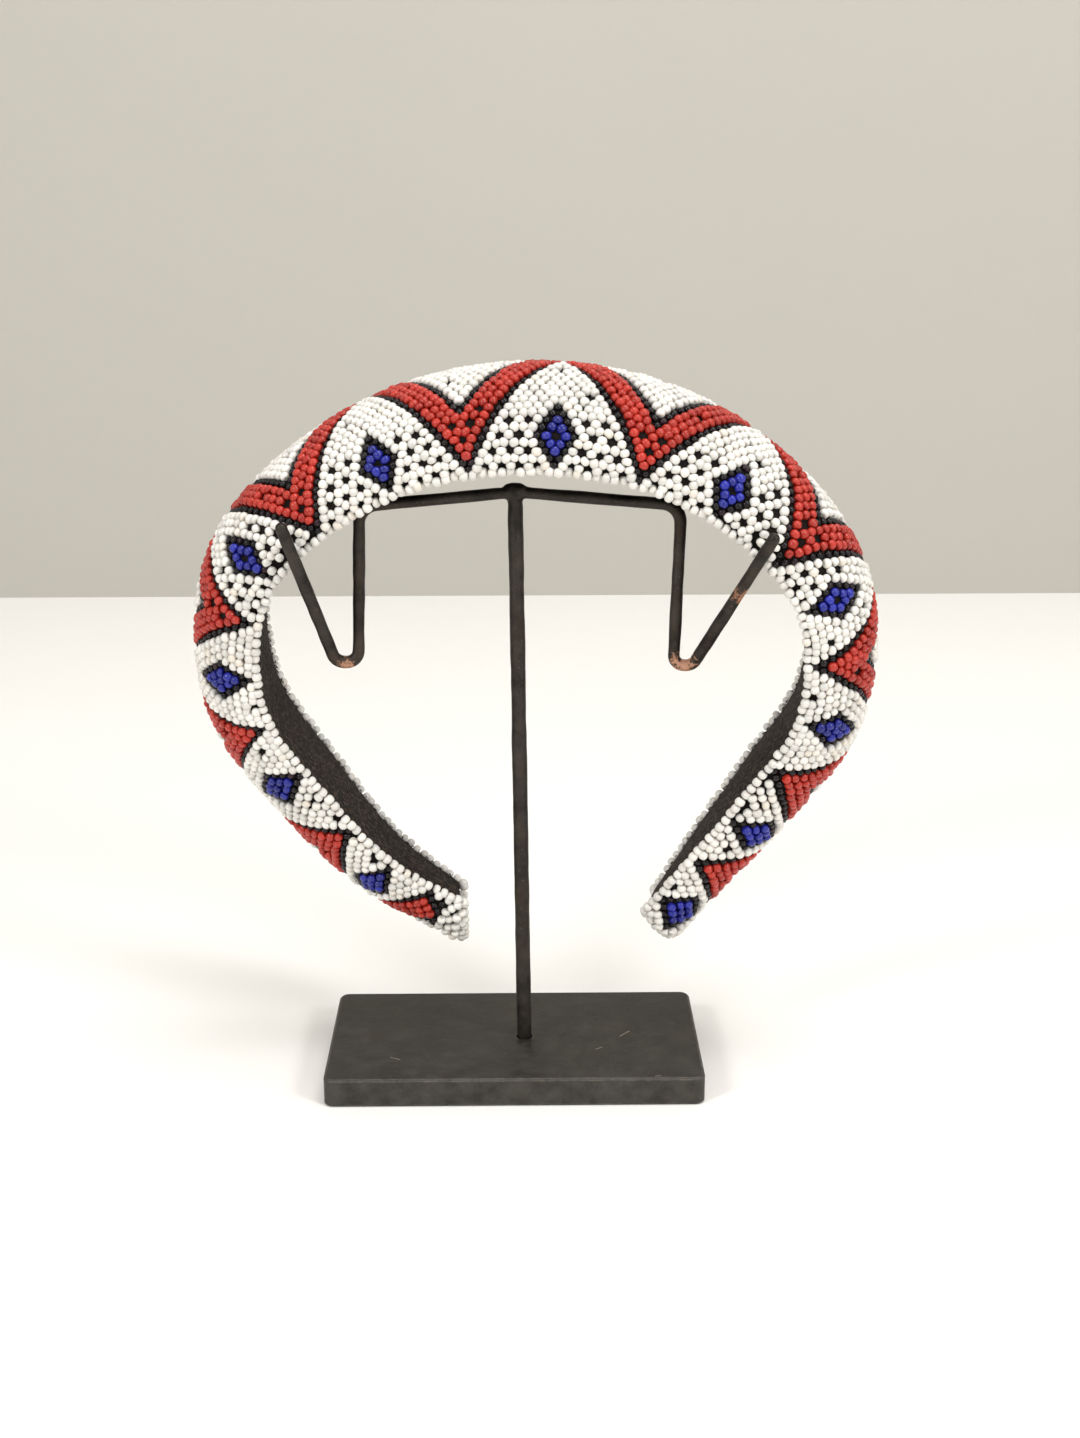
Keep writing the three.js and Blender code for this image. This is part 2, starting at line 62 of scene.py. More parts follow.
# The band's own frame: x level across, y from the front edge to the back, z up its plane.
INNER_RADIUS = 70
HALF_WIDTH = 20.5
DOME = 16
SAG = 5
FLARE = 16.5
LEAN = 4
TURN = 3.4
END_ROUND = 2.5
END_SHARE = 0.75
LEFT_SLANT = 0.75
RIGHT_SLANT = 0.42
SLANT_LENGTH = 14

# Angle from the top, then shares of inner radius, half width, dome, sag and flare
SECTIONS = [
    (-158, 0.783, 0.49, 0.73, 0.05, 0.65),
    (-135, 0.771, 0.67, 0.85, 0.1, 0.42),
    (-110, 0.81, 0.78, 0.99, 0.15, 0.27),
    (-85, 0.98, 0.84, 1.04, 0.2, 0.26),
    (-60, 1.07, 0.88, 1.0, 0.35, 0.6),
    (-30, 1.017, 0.93, 0.98, 0.75, 0.92),
    (0, 0.984, 1, 0.96, 1, 1),
    (30, 0.987, 0.93, 0.98, 1, 0.92),
    (60, 0.993, 0.88, 1.0, 0.45, 0.6),
    (85, 0.891, 0.84, 1.04, 0.2, 0.26),
    (110, 0.74, 0.78, 0.99, 0.15, 0.27),
    (135, 0.731, 0.67, 0.85, 0.1, 0.42),
    (154, 0.831, 0.49, 0.73, 0.05, 0.65),
]

# Rows from the crown line to each turn of the zigzag, from the left end, front and back by turns
TURN_ROWS = [4, 4, 5, 5, 5, 5, 5, 5, 6, 6, 6, 6, 6, 6, 5, 5, 5, 5, 5, 4, 4, 4]
LEFT_COLUMNS = 4
RIGHT_COLUMNS = 3
EDGE_ROWS = 1.5
# Columns and rows of the net left free at its ends and along its edges
END_MARGIN = 0.4
EDGE_MARGIN = 0.42

# How far the net is pulled along the band, in columns, at even stations from the left end
NET_PULL = 1.3
PULLS = [0, 0, -0.9, -0.8, -0.95, -0.7, 0.2, 0.3, 0]

# The black beads against the others, and where the meshes of the net stand open
OUTLINE_SHARE = 0.8
OUTLINE_DEPTH = 0.4
OPEN_COLUMNS = (44, 131)
OPEN_ROWS = 4.2

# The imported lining: from the band's end to its own, in from the edges, and thick
SOLID_START = 3.9
SOLID_INSET = 2.6
SOLID_THICK = 1.2

# How the beads differ from each other: tilt of the hole, then shares of width, length and roundness
TILT_SPREAD = 0.09
WIDTH_SPREAD = 0.045
LENGTH_SPREAD = 0.07
OVAL_SPREAD = 0.03

# The core: shares of a bead under the net, then its floor, its ends and its unevenness
CORE_SHARE = 0.8
CORE_FLOOR = 1.3
CORE_START = 2.6
CORE_UNEVEN = 0.03
CORE_STATIONS = 220
CORE_REACH = 0.88

# The lining in the scene, with the lift of its edges and its puckers
LINING_THICK = 1.0
LINING_LIFT = 0.15
LINING_INSET = 1.9
LINING_START = 2.0
LINING_UNEVEN = 0.02
LINING_STATIONS = 320
EDGE_LIFT = 0.12
PUCKER = 0.16

# How far the beads of the net stray, in columns, rows and millimetres, and a step along the thread
STRAY_COLUMN = 0.035
STRAY_ROW = 0.025
STRAY_DEPTH = 0.06
DRIFT_COLUMN = 0.05
DRIFT_ROW = 0.04
THREAD_STEP = 0.2

# The beads along the edges: every third is tucked in
EDGE_START = 1.0
EDGE_STATIONS = 1600
EDGE_PLACE = 0.99
TUCKED = 0.45
PROUD = -0.15
STRAY_TUCK = 0.12
STRAY_EDGE = 0.1

# The beads over the ends, in millimetres and in shares of a bead's width
RIM_START = 0.7
RIM_PLACE = 0.96
CLOSE = 0.93
ROUND = 0.9
END_LIFT = 0.6
END_TURN = 0.12
END_MIDDLE = 0.8
END_DEPTH = 0.02
END_STATIONS = 60

# The stitches
STITCH_START = 5.0
STITCH_STRAY = 0.35
STITCH_REACH = (2.3, 3.3)
STITCH_LIFT = (0.05, 0.35)
STITCH_INSET = 1.2
STITCH_BOW = 0.35
STITCH_FLOOR = 0.5
STITCH_RUN = (-0.6, 0.7)
STITCH_POINTS = 9

# The rods of the stand
ROD = 2.9
POST = 3.7
POST_HEIGHT = 140
POST_X = 2.5
POST_Y = -1.5
POST_LEAN = 1.6
SOCKET = 4.2
BAR_DROOP = 3.35
BAR_BEND = 60
CORNER_RADIUS = 4.5
WELD_LENGTH = 7
WELD_HEIGHT = 4.6
HOOK_SPAN = 37.9
LEG_LENGTH = 38.1
LEG_LEAN = 1.2
HOOK_MOUTH = 4.8
ARM_ROUND = 0.75
ARM_SPREAD = 17.6
ARM_RISE = 35.2
ARM_REACH = 20.2
BEND_STEPS = 14
POST_STEP = 6.0
BAR_STEP = 2.0

# Side, then shares of span, leg length, mouth, spread, rise and reach
HOOKS = [
    (-1, 0.967, 0.985, 1.1, 0.93, 1.01, 0.85),
    (1, 1.033, 1.015, 0.92, 1.07, 1, 1.18),
]
BASE_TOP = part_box("stand_base")[1][2] / MM

# Unevenness of the rods and lumps of the weld, in metres: marks by length and depth
HAMMER_MARKS = ((0.011, 0.00005), (0.006, 0.00004), (0.003, 0.00002))
LUMP_REACH = 0.005
LUMP_HEIGHT = 0.00022

# Marks on the iron, in metres: rust by place and size, scratches by both ends
RUST_ON_RODS = [
    ((-0.0402, -0.003, 0.1050), 0.0050),
    ((0.0415, -0.003, 0.1055), 0.0065),
    ((0.0530, -0.016, 0.1260), 0.0045),
]
SCRATCHES = [
    ((0.0269, -0.0019, 0.0073), (0.0294, 0.0010, 0.0073)),
    ((0.0205, -0.0092, 0.0073), (0.0221, -0.0081, 0.0073)),
    ((0.0345, -0.0241, 0.0073), (0.0357, -0.0240, 0.0073)),
    ((-0.0310, -0.0130, 0.0073), (-0.0286, -0.0142, 0.0073)),
]

# For each iron: how dark its dark places are against its light ones, its brown bloom, and the width
# of its lighter edges, which are worn bare and carry a painted edge highlight
IRON = {
    "rod_iron": (0.32, 0.3, 0.0004),
    "plate_iron": (0.46, 0.10, 0.0008),
}
CLEAN_METAL = 0.75
RUSTY_METAL = 0.1
# Share of the lighter edge colour: worn bare metal and a painted edge highlight
BARE_AND_HIGHLIT_EDGE = 0.55
SCRATCH_WIDTH = 0.00014

# Depth of the relief on each finish, in metres
GLASS_RELIEF = 0.0001
WEAVE_RELIEF = 0.0006
IRON_RELIEF = 0.0002

# The lights of the studio, in metres: name, place, size and the setting that gives its power
LIGHTS = [
    ("top_light", (0.2, -0.15, 1.1), 0.6, "key"),
    ("left_light", (-0.85, -0.75, 0.75), 0.3, "fill"),
    ("right_light", (0.9, -0.7, 0.75), 0.3, "fill"),
]
LIGHT_AIM = (0, 0, 0.08)


# Curves of the band


def spline(values, t):
    """A uniform Catmull-Rom curve through the values, at shares t from 0 to 1."""
    values = np.asarray(values, float)
    padded = np.vstack([2 * values[0] - values[1], values, 2 * values[-1] - values[-2]])
    at = np.clip(np.asarray(t, float), 0, 1) * (len(values) - 1)
    i = np.minimum(at.astype(int), len(values) - 2)
    w = (at - i)[:, None]
    a, b, c, d = (padded[i + k] for k in range(4))
    start, end = (c - a) / 2, (d - b) / 2
    square = 3 * (c - b) - 2 * start - end
    cube = 2 * (b - c) + start + end
    return b + start * w + square * w**2 + cube * w**3


TABLE = np.array(SECTIONS, float)
ANGLE = np.radians(TABLE[:, 0])
RADIUS = TABLE[:, 1] * INNER_RADIUS
INNER = np.stack([RADIUS * np.sin(ANGLE), 0 * ANGLE, RADIUS * np.cos(ANGLE)], 1)
SIZES = TABLE[:, 2:] * np.array([HALF_WIDTH, DOME, SAG, FLARE])


def sections_at(t):
    """Places and directions of the band's sections at shares t of its curve."""
    t = np.asarray(t, float)
    step = 1e-4
    tangent = spline(INNER, t + step) - spline(INNER, t - step)
    tangent /= np.linalg.norm(tangent, axis=1)[:, None]
    width, dome, sag, flare = spline(SIZES, t).T
    out = np.stack([-tangent[:, 2], 0 * t, tangent[:, 0]], 1)
    depth = np.array([0.0, 1.0, 0.0])
    tilt = np.radians(flare)[:, None]
    return {
        "origin": spline(INNER, t),
        "across": depth * np.cos(tilt) + out * np.sin(tilt),
        "up": out * np.cos(tilt) - depth * np.sin(tilt),
        "along": tangent,
        "width": width,
        "dome": dome,
        "sag": sag,
    }


def spots(section, across, up):
    """Points at distances across each section and up from its inner face."""
    return (
        section["origin"]
        + section["across"] * np.asarray(across)[:, None]
        + section["up"] * np.asarray(up)[:, None]
    )


def crown_lengths(samples):
    """Lengths along the crown line at the samples of the band's curve."""
    section = sections_at(samples)
    line = spots(section, 0 * samples, section["dome"])
    return np.concatenate([[0], np.cumsum(np.linalg.norm(np.diff(line, axis=0), axis=1))])


SAMPLES = np.linspace(0, 1, 1201)
CROWN = crown_lengths(SAMPLES)
CROWN_LENGTH = CROWN[-1]
LAST_COLUMN = sum(a + b - 2 for a, b in zip(TURN_ROWS, TURN_ROWS[1:]))
COLUMNS = LEFT_COLUMNS + LAST_COLUMN + RIGHT_COLUMNS
COLUMN = CROWN_LENGTH / COLUMNS


def sections_along(length):
    """Sections at lengths along the crown; both ends are rounded off and slant outwards."""
    length = np.clip(np.asarray(length, float), 0, CROWN_LENGTH)
    section = sections_at(np.interp(length, CROWN, SAMPLES))
    to_end = np.minimum(np.minimum(length, CROWN_LENGTH - length), END_ROUND) / END_ROUND
    swell = np.sqrt(END_SHARE**2 + (1 - END_SHARE**2) * (1 - (1 - to_end) ** 2))
    for key in ("width", "dome", "sag"):
        section[key] = section[key] * swell
    at_left = np.maximum(1 - length / SLANT_LENGTH, 0) ** 2
    at_right = np.maximum(1 - (CROWN_LENGTH - length) / SLANT_LENGTH, 0) ** 2
    slant = at_right * RIGHT_SLANT - at_left * LEFT_SLANT
    section["up"] = section["up"] + section["along"] * slant[:, None]
    return section


def dome_spots(section, place, inset):
    """Points on the dome, place -1 at the front edge and 1 at the back, measured round it."""
    place = np.clip(np.asarray(place, float), -1, 1)
    angles = np.linspace(0, math.pi, 49)
    x = -section["width"][:, None] * np.cos(angles)
    z = section["dome"][:, None] * np.sin(angles)
    arc = np.hypot(np.diff(x), np.diff(z)).cumsum(1)
    arc = np.concatenate([np.zeros((len(arc), 1)), arc], 1)
    wanted = (place + 1) / 2 * arc[:, -1]
    angle = np.array([np.interp(w, row, angles) for w, row in zip(wanted, arc)])
    normal = np.stack([-np.cos(angle) / section["width"], np.sin(angle) / section["dome"]], 1)
    normal /= np.linalg.norm(normal, axis=1)[:, None]
    across = -section["width"] * np.cos(angle) - normal[:, 0] * inset
    up = np.maximum(section["dome"] * np.sin(angle) - normal[:, 1] * inset, 0)
    facing = section["across"] * normal[:, :1] + section["up"] * normal[:, 1:]
    return spots(section, across, up), facing


def inner_face(section, share, lift, inset):
    """The lining's side of the band, which bulges by its sag, most at mid-depth."""
    reach = section["width"] - inset
    return spots(section, reach * share, lift - section["sag"] * (1 - share**2))


def turned(points):
    """From the band's own frame to the model's axes."""
    lean = Matrix.Rotation(math.radians(LEAN), 3, "X")
    turn = Matrix.Rotation(-math.radians(TURN), 3, "Z")
    return points @ np.array(turn @ lean).T


def seat():
    """Where the band's frame sits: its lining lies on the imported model's lining."""
    section = sections_along(np.linspace(SOLID_START, CROWN_LENGTH - SOLID_START, 41))
    shares = (-1, -0.5, 0, 0.5, 1)
    lifts = (0, SOLID_THICK)
    rows = [inner_face(section, share, lift, SOLID_INSET) for share in shares for lift in lifts]
    points = turned(np.vstack(rows))
    low, high = (np.array(corner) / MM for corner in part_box("band_lining"))
    return (low + high) / 2 - (points.min(0) + points.max(0)) / 2


SEAT = seat()


def placed(points):
    """From the band's own frame, in millimetres, to the model's, in metres."""
    return (turned(points) + SEAT) * MM


# The net and its pattern


def turns():
    """Column, rows and side of each turn of the zigzag; side -1 is the front edge."""
    column, rows = 0, []
    for i, count in enumerate(TURN_ROWS):
        if i:
            column += TURN_ROWS[i - 1] + count - 2
        rows.append((column, count, -1 if i % 2 == 0 else 1))
    return rows


TURNS = turns()
TURN_COLUMNS = [turn[0] for turn in TURNS]


def edge_row(column):
    """Rows from the crown line to either edge of the net."""
    return EDGE_ROWS + np.interp(column, TURN_COLUMNS, TURN_ROWS)


def zigzag_row(column):
    """The row that the zigzag's middle line holds at a column."""
    return np.interp(column, TURN_COLUMNS, [side * (rows - 1) for _, rows, side in TURNS])


def length_at(column):
    """Length along the crown at a column of the net, which is pulled unevenly along the band."""
    column = np.asarray(column, float)
    pull = spline(np.array(PULLS)[:, None], (column + LEFT_COLUMNS) / COLUMNS)[:, 0]
    return (column + LEFT_COLUMNS + NET_PULL * pull) * COLUMN


def bead_colour(c, q, knot):
    """The colour of the bead at a column and row; knot says that the net's threads meet in it."""
    for column, rows, side in TURNS:
        off = abs(c - column) + abs(q + side * (rows - 1))
        if off < 1.1:
            return "blue"
        if off < 2.1 and not knot:
            return "black"
    inside = -1 <= c <= LAST_COLUMN + 1
    nearest = min(max(c, 0), LAST_COLUMN)
    from_line = abs(q - zigzag_row(nearest)) + (abs(c - nearest) if inside else 0)
    if inside and from_line < 1.1:
        return "red"
    if -1.6 <= c <= LAST_COLUMN + 1.6 and not knot and from_line < 2.1:
        return "black"
    return "white"


def mesh_is_open(c, q, colour):
    """Whether a mesh of the net is left open, so that the cloth shows through it."""
    over_head = OPEN_COLUMNS[0] < c < OPEN_COLUMNS[1]
    if colour == "blue":
        return over_head
    by_front_edge = edge_row(c) + q < OPEN_ROWS and over_head
    return colour != "black" and (by_front_edge or (7 * c + 13 * q) % 9 == 0)


def net_beads():
    """Every bead of the net: column, row, slope of its thread and colour."""
    beads = []
    for c in range(-LEFT_COLUMNS, LAST_COLUMN + RIGHT_COLUMNS):
        reach = int(edge_row(c) + 1)
        for q in range(-reach, reach + 1):
            if (c + q) % 2:
                colour = bead_colour(c, q, False)
                if not mesh_is_open(c, q, colour):
                    beads.append((c, q, 0, colour))
                continue
            beads.append((c, q, 0, bead_colour(c, q, True)))
            beads.append((c + 0.5, q + 0.5, 1, bead_colour(c + 0.5, q + 0.5, False)))
            beads.append((c + 0.5, q - 0.5, -1, bead_colour(c + 0.5, q - 0.5, False)))
    first, last = END_MARGIN - LEFT_COLUMNS, LAST_COLUMN + RIGHT_COLUMNS - END_MARGIN
    return [
        bead
        for bead in beads
        if abs(bead[1]) <= edge_row(bead[0]) - EDGE_MARGIN and first <= bead[0] <= last
    ]


# Mesh helpers


def new_piece(name, points, faces, paint, smooth=True, bead=None, strip=None):
    """A mesh object with its finish."""
    mesh = bpy.data.meshes.new(name)
    mesh.from_pydata([tuple(p) for p in points], [], [tuple(f) for f in faces])
    mesh.validate()
    if bead is not None:
        values = np.asarray(bead, np.float32)
        mesh.attributes.new("bead", "FLOAT", "POINT").data.foreach_set("value", values)
    if strip is not None:
        values = np.asarray(strip, np.float32).ravel()
        mesh.attributes.new("strip", "FLOAT_VECTOR", "POINT").data.foreach_set("vector", values)
    if smooth:
        mesh.polygons.foreach_set("use_smooth", [True] * len(mesh.polygons))
    mesh.update()
    piece = bpy.data.objects.new(name, mesh)
    bpy.context.scene.collection.objects.link(piece)
    mesh.materials.append(paint)
    return piece


def settle(piece, nodes=()):
    """Says what a piece rides on and which solids it stands for."""
    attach(piece, "root")
    if nodes:
        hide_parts(*nodes)


def bead_template(sides):
    """A round bead one unit across and one unit long along x, with a dimple at each hole."""
    half = [(0.19, -0.47), (0.4, -0.36), (0.495, -0.13)]
    profile = half + [(r, -x) for r, x in half[::-1]]
    points, faces = [], []
    for r, x in profile:
        for k in range(sides):
            a = 2 * math.pi * k / sides
            points.append((x, r * math.cos(a), r * math.sin(a)))
    for i in range(len(profile) - 1):
        for k in range(sides):
            j = (k + 1) % sides
            a, b = i * sides, (i + 1) * sides
            faces.append((a + k, b + k, b + j))
            faces.append((a + k, b + j, a + j))
    for ring, x in ((0, -0.3), (len(profile) - 1, 0.3)):
        points.append((x, 0, 0))
        for k in range(sides):
            j = (k + 1) % sides
            a, b = ring * sides + k, ring * sides + j
            faces.append((a, b, len(points) - 1) if ring == 0 else (b, a, len(points) - 1))
    return np.array(points), np.array(faces)


def bead_size(sizes):
    """Width and length of a bead, in millimetres."""
    return sizes.bead_width / MM, sizes.bead_length / MM


def bead_mesh(name, beads, size, paint, rng, sides=10):
    """One mesh of beads, each with its own small change of size, turn and tint."""
    centres, axes, facing = beads
    points, faces = bead_template(sides)
    count = len(centres)
    axes = axes / np.linalg.norm(axes, axis=1)[:, None]
    axes = axes + rng.normal(0, TILT_SPREAD, (count, 3))
    axes /= np.linalg.norm(axes, axis=1)[:, None]
    side = np.cross(facing, axes)
    side /= np.linalg.norm(side, axis=1)[:, None]
    top = np.cross(axes, side)
    wide = size[0] * (1 + rng.normal(0, WIDTH_SPREAD, count))
    long = size[1] * (1 + rng.normal(0, LENGTH_SPREAD, count))
    oval = 1 + rng.normal(0, OVAL_SPREAD, count)
    shape = (
        points[None, :, :1] * (axes * long[:, None])[:, None]
        + points[None, :, 1:2] * (side * (wide * oval)[:, None])[:, None]
        + points[None, :, 2:] * (top * wide[:, None])[:, None]
    )
    everything = (centres[:, None] + shape).reshape(-1, 3)
    every_face = (faces[None] + np.arange(count)[:, None, None] * len(points)).reshape(-1, 3)
    tint = np.repeat(rng.random(count), len(points))
    return new_piece(name, placed(everything), every_face.tolist(), paint, bead=tint)


def tube(points, radius, sides):
    """Points and faces of a closed tube round a line, with rings that don't twist."""
    points = np.asarray(points, float)
    tangent = np.gradient(points, axis=0)
    tangent /= np.linalg.norm(tangent, axis=1)[:, None]
    normal = np.cross(tangent[0], [0.31, 0.92, 0.22])
    angles = np.arange(sides) * 2 * math.pi / sides
    rings = []
    for p, t in zip(points, tangent):
        normal = normal - t * (normal @ t)
        normal /= np.linalg.norm(normal)
        other = np.cross(t, normal)
        circle = np.cos(angles)[:, None] * normal + np.sin(angles)[:, None] * other
        rings.append(p + radius * circle)
    faces = []
    for i in range(len(points) - 1):
        for k in range(sides):
            j = (k + 1) % sides
            faces.append((i * sides + k, i * sides + j, (i + 1) * sides + j, (i + 1) * sides + k))
    faces.append(tuple(range(sides))[::-1])
    faces.append(tuple(range((len(points) - 1) * sides, len(points) * sides)))
    return np.vstack(rings), faces


def joined(shapes):
    """Points and faces of several shapes in one list."""
    points, faces = [], []
    for shape_points, shape_faces in shapes:
        faces += [tuple(i + len(points) for i in face) for face in shape_faces]
        points += list(shape_points)
    return np.array(points), faces


def ball(centre, radius, stretch, sides=20):
    """Points and faces of a stretched ball."""
    points, faces = [], []
    rings = sides // 2
    for i in range(1, rings):
        a = math.pi * i / rings
        for k in range(sides):
            b = 2 * math.pi * k / sides
            points.append((math.sin(a) * math.cos(b), math.sin(a) * math.sin(b), math.cos(a)))
    for i in range(rings - 2):
        for k in range(sides):
            j = (k + 1) % sides
            faces.append((i * sides + k, (i + 1) * sides + k, (i + 1) * sides + j, i * sides + j))
    faces.append(tuple(range(sides)))
    faces.append(tuple(range((rings - 2) * sides, (rings - 1) * sides))[::-1])
    return np.array(points) * np.array(stretch) * radius + np.array(centre), faces


def band_loft(ring_at, stations, start):
    """Points, faces and strip places of a closed loft along the band."""
    length = np.linspace(start, CROWN_LENGTH - start, stations)
    rings = np.stack(ring_at(sections_along(length)), 1)
    sides = rings.shape[1]
    round_steps = np.linalg.norm(np.diff(rings, axis=1), axis=2)
    across = np.concatenate([np.zeros((stations, 1)), np.cumsum(round_steps, 1)], 1)
    along = np.broadcast_to(length[:, None], across.shape)
    faces = []
    for i in range(stations - 1):
        for k in range(sides):
            j = (k + 1) % sides
            faces.append((i * sides + k, (i + 1) * sides + k, (i + 1) * sides + j, i * sides + j))
    faces.append(tuple(range(sides)))
    faces.append(tuple(range((stations - 1) * sides, stations * sides))[::-1])
    strip = np.stack([along, across, 0 * across], 2).reshape(-1, 3)
    return rings.reshape(-1, 3), faces, strip


def spaced(points, facing, pitch):
    """Beads at an even pitch along a line: centre, direction and facing of each."""
    run = np.concatenate([[0], np.cumsum(np.linalg.norm(np.diff(points, axis=0), axis=1))])
    at = np.linspace(0, run[-1], max(int(round(run[-1] / pitch)), 1) + 1)

    def pick(values):
        return np.stack([np.interp(at, run, values[:, k]) for k in range(3)], 1)

    return pick(points), pick(np.gradient(points, axis=0)), pick(facing)


# Shader helpers


def node(tree, kind, inputs=(), **options):
    """A shader node with its options set and its inputs set or linked."""
    made = tree.nodes.new(kind)
    for key, value in options.items():
        setattr(made, key, value)
    for key, value in dict(inputs).items():
        if isinstance(value, bpy.types.NodeSocket):
            tree.links.new(value, made.inputs[key])
        else:
            made.inputs[key].default_value = value
    return made


def math_node(tree, operation, a, b=0.0):
    """One sum on one or two values."""
    return node(tree, "ShaderNodeMath", {0: a, 1: b}, operation=operation).outputs[0]


def times(tree, a, b):
    """Two values multiplied."""
    return math_node(tree, "MULTIPLY", a, b)


def plus(tree, a, b):
    """Two values added."""
    return math_node(tree, "ADD", a, b)


def vector_node(tree, operation, a, b):
    """One sum on two vectors."""
    return node(tree, "ShaderNodeVectorMath", {0: a, 1: b}, operation=operation).outputs


def mixed(tree, share, a, b):
    """A colour between two, by a share."""
    return node(tree, "ShaderNodeMix", {0: share, 6: a, 7: b}, data_type="RGBA").outputs[2]


def ranged(tree, value, low, high, to_low=0.0, to_high=1.0):
    """A value carried from one range to another, and held inside it."""
    sockets = {0: value, 1: low, 2: high, 3: to_low, 4: to_high}
    return node(tree, "ShaderNodeMapRange", sockets, clamp=True).outputs["Result"]


def noise(tree, place, scale, detail=4.0, roughness=0.55):
    """Soft unevenness; a scale of 1000 changes about every millimetre."""
    sockets = {"Vector": place, "Scale": scale, "Detail": detail, "Roughness": roughness}
    return node(tree, "ShaderNodeTexNoise", sockets).outputs["Fac"]


def own_place(tree):
    """The surface's place in the piece's own axes, in metres."""
    return node(tree, "ShaderNodeTexCoord").outputs["Object"]


def effect(name, sockets_in, sockets_out, fill):
    """A shader node group, built once: its sockets are (name, kind, default) and (name, kind)."""
    if name in bpy.data.node_groups:
        return bpy.data.node_groups[name]
    tree = bpy.data.node_groups.new(name, "ShaderNodeTree")
    for label, kind, default in sockets_in:
        tree.interface.new_socket(label, in_out="INPUT", socket_type=kind).default_value = default
    for label, kind in sockets_out:
        tree.interface.new_socket(label, in_out="OUTPUT", socket_type=kind)
    given = tree.nodes.new("NodeGroupInput").outputs
    results = tree.nodes.new("NodeGroupOutput").inputs
    for label, value in fill(tree, given).items():
        tree.links.new(value, results[label])
    return tree


def placed_effect(tree, group, inputs):
    """A shader node group placed in a material, with that material's own values."""
    return node(tree, "ShaderNodeGroup", inputs, node_tree=group).outputs


COLOUR, VALUE, VECTOR = "NodeSocketColor", "NodeSocketFloat", "NodeSocketVector"
SURFACE = [("Colour", COLOUR), ("Roughness", VALUE), ("Height", VALUE)]


def glass_tint():
    """Seed beads: each bead its own tint, in patches along the band, with a thin dusty film."""

    def fill(tree, given):
        place = own_place(tree)
        bead = node(tree, "ShaderNodeAttribute", attribute_name="bead").outputs["Fac"]
        patch = ranged(tree, noise(tree, place, given["Patch Scale"], 3.0), 0.35, 0.65)
        share = plus(tree, times(tree, bead, 0.72), times(tree, patch, 0.28))
        colour = mixed(tree, share, given["Deep"], given["Pale"])
        odd = ranged(tree, bead, 0.9, 1.0)
        colour = mixed(tree, times(tree, odd, given["Odd Share"]), colour, given["Odd"])
        film = ranged(tree, noise(tree, place, 900.0, 3.0), 0.4, 0.75)
        film = times(tree, film, given["Dust"])
        dull = plus(tree, film, times(tree, patch, 0.2))
        return {
            "Colour": mixed(tree, film, colour, (0.42, 0.37, 0.30, 1)),
            "Roughness": ranged(tree, dull, 0.0, 0.7, 0.16, 0.5),
            "Height": noise(tree, place, 1500.0, 2.0),
        }

    sockets = [
        ("Deep", COLOUR, (0.1, 0.1, 0.1, 1)),
        ("Pale", COLOUR, (0.9, 0.9, 0.9, 1)),
        ("Odd", COLOUR, (0.5, 0.5, 0.5, 1)),
        ("Odd Share", VALUE, 0.5),
        ("Patch Scale", VALUE, 45.0),
        ("Dust", VALUE, 0.2),
    ]
    return effect("glass_tint", sockets, SURFACE, fill)


def woven_thread():
    """A plain weave, read from the strip's own length and width, with painted shade in its hollows
    against lighter raised threads, fuzz and lint.
    """

    def fill(tree, given):
        strip = node(tree, "ShaderNodeAttribute", attribute_name="strip").outputs["Vector"]
        parts = node(tree, "ShaderNodeSeparateXYZ", {"Vector": strip}).outputs
        place = own_place(tree)
        shift = times(tree, noise(tree, place, 260.0, 2.0), 2.2)
        turns_per_mm = times(tree, given["Threads"], math.pi)
        u = plus(tree, times(tree, parts["X"], turns_per_mm), shift)
        v = plus(tree, times(tree, parts["Y"], turns_per_mm), shift)
        warp = math_node(tree, "ABSOLUTE", math_node(tree, "SINE", u))
        weft = math_node(tree, "ABSOLUTE", math_node(tree, "SINE", v))
        over = times(tree, math_node(tree, "COSINE", u), math_node(tree, "COSINE", v))
        over = ranged(tree, over, -0.35, 0.35)
        threads = {0: over, 2: warp, 3: weft}
        height = node(tree, "ShaderNodeMix", threads, data_type="FLOAT").outputs[0]
        lint = ranged(tree, noise(tree, place, 950.0, 5.0, 0.8), 0.49, 0.58)
        lint = times(tree, lint, given["Lint"])
        worn = ranged(tree, noise(tree, place, 60.0, 4.0), 0.35, 0.7)
        # Colour by thread height: painted shade in the weave's hollows and lighter raised threads,
        # mixed with uneven wear
        painted_shade_and_wear = plus(tree, times(tree, height, 0.65), times(tree, worn, 0.35))
        colour = mixed(tree, painted_shade_and_wear, given["Dark"], given["Light"])
        return {
            "Colour": mixed(tree, lint, colour, given["Lint Colour"]),
            "Roughness": ranged(tree, worn, 0.0, 1.0, 0.96, 0.8),
            "Height": plus(tree, height, times(tree, lint, 0.8)),
        }

    sockets = [
        ("Dark", COLOUR, (0.01, 0.01, 0.01, 1)),
        ("Light", COLOUR, (0.05, 0.05, 0.05, 1)),
        ("Lint Colour", COLOUR, (0.2, 0.2, 0.2, 1)),
        ("Threads", VALUE, 2.0),
        ("Lint", VALUE, 0.3),
    ]
    return effect("woven_thread", sockets, SURFACE, fill)


def edge_wear():
    """A mask that is 1 along edges: worn bare metal and a painted edge highlight."""

    def fill(tree, given):
        bevel = node(tree, "ShaderNodeBevel", {"Radius": given["Width"]}, samples=6)
        true = node(tree, "ShaderNodeNewGeometry").outputs["Normal"]
        turn = vector_node(tree, "DOT_PRODUCT", bevel.outputs["Normal"], true)["Value"]
        edge = ranged(tree, turn, 0.99, 0.8)
        broken = ranged(tree, noise(tree, own_place(tree), 420.0, 6.0, 0.65), 0.38, 0.6)
        return {"Mask": times(tree, edge, broken)}

    return effect("edge_wear", [("Width", VALUE, 0.0006)], [("Mask", VALUE)], fill)


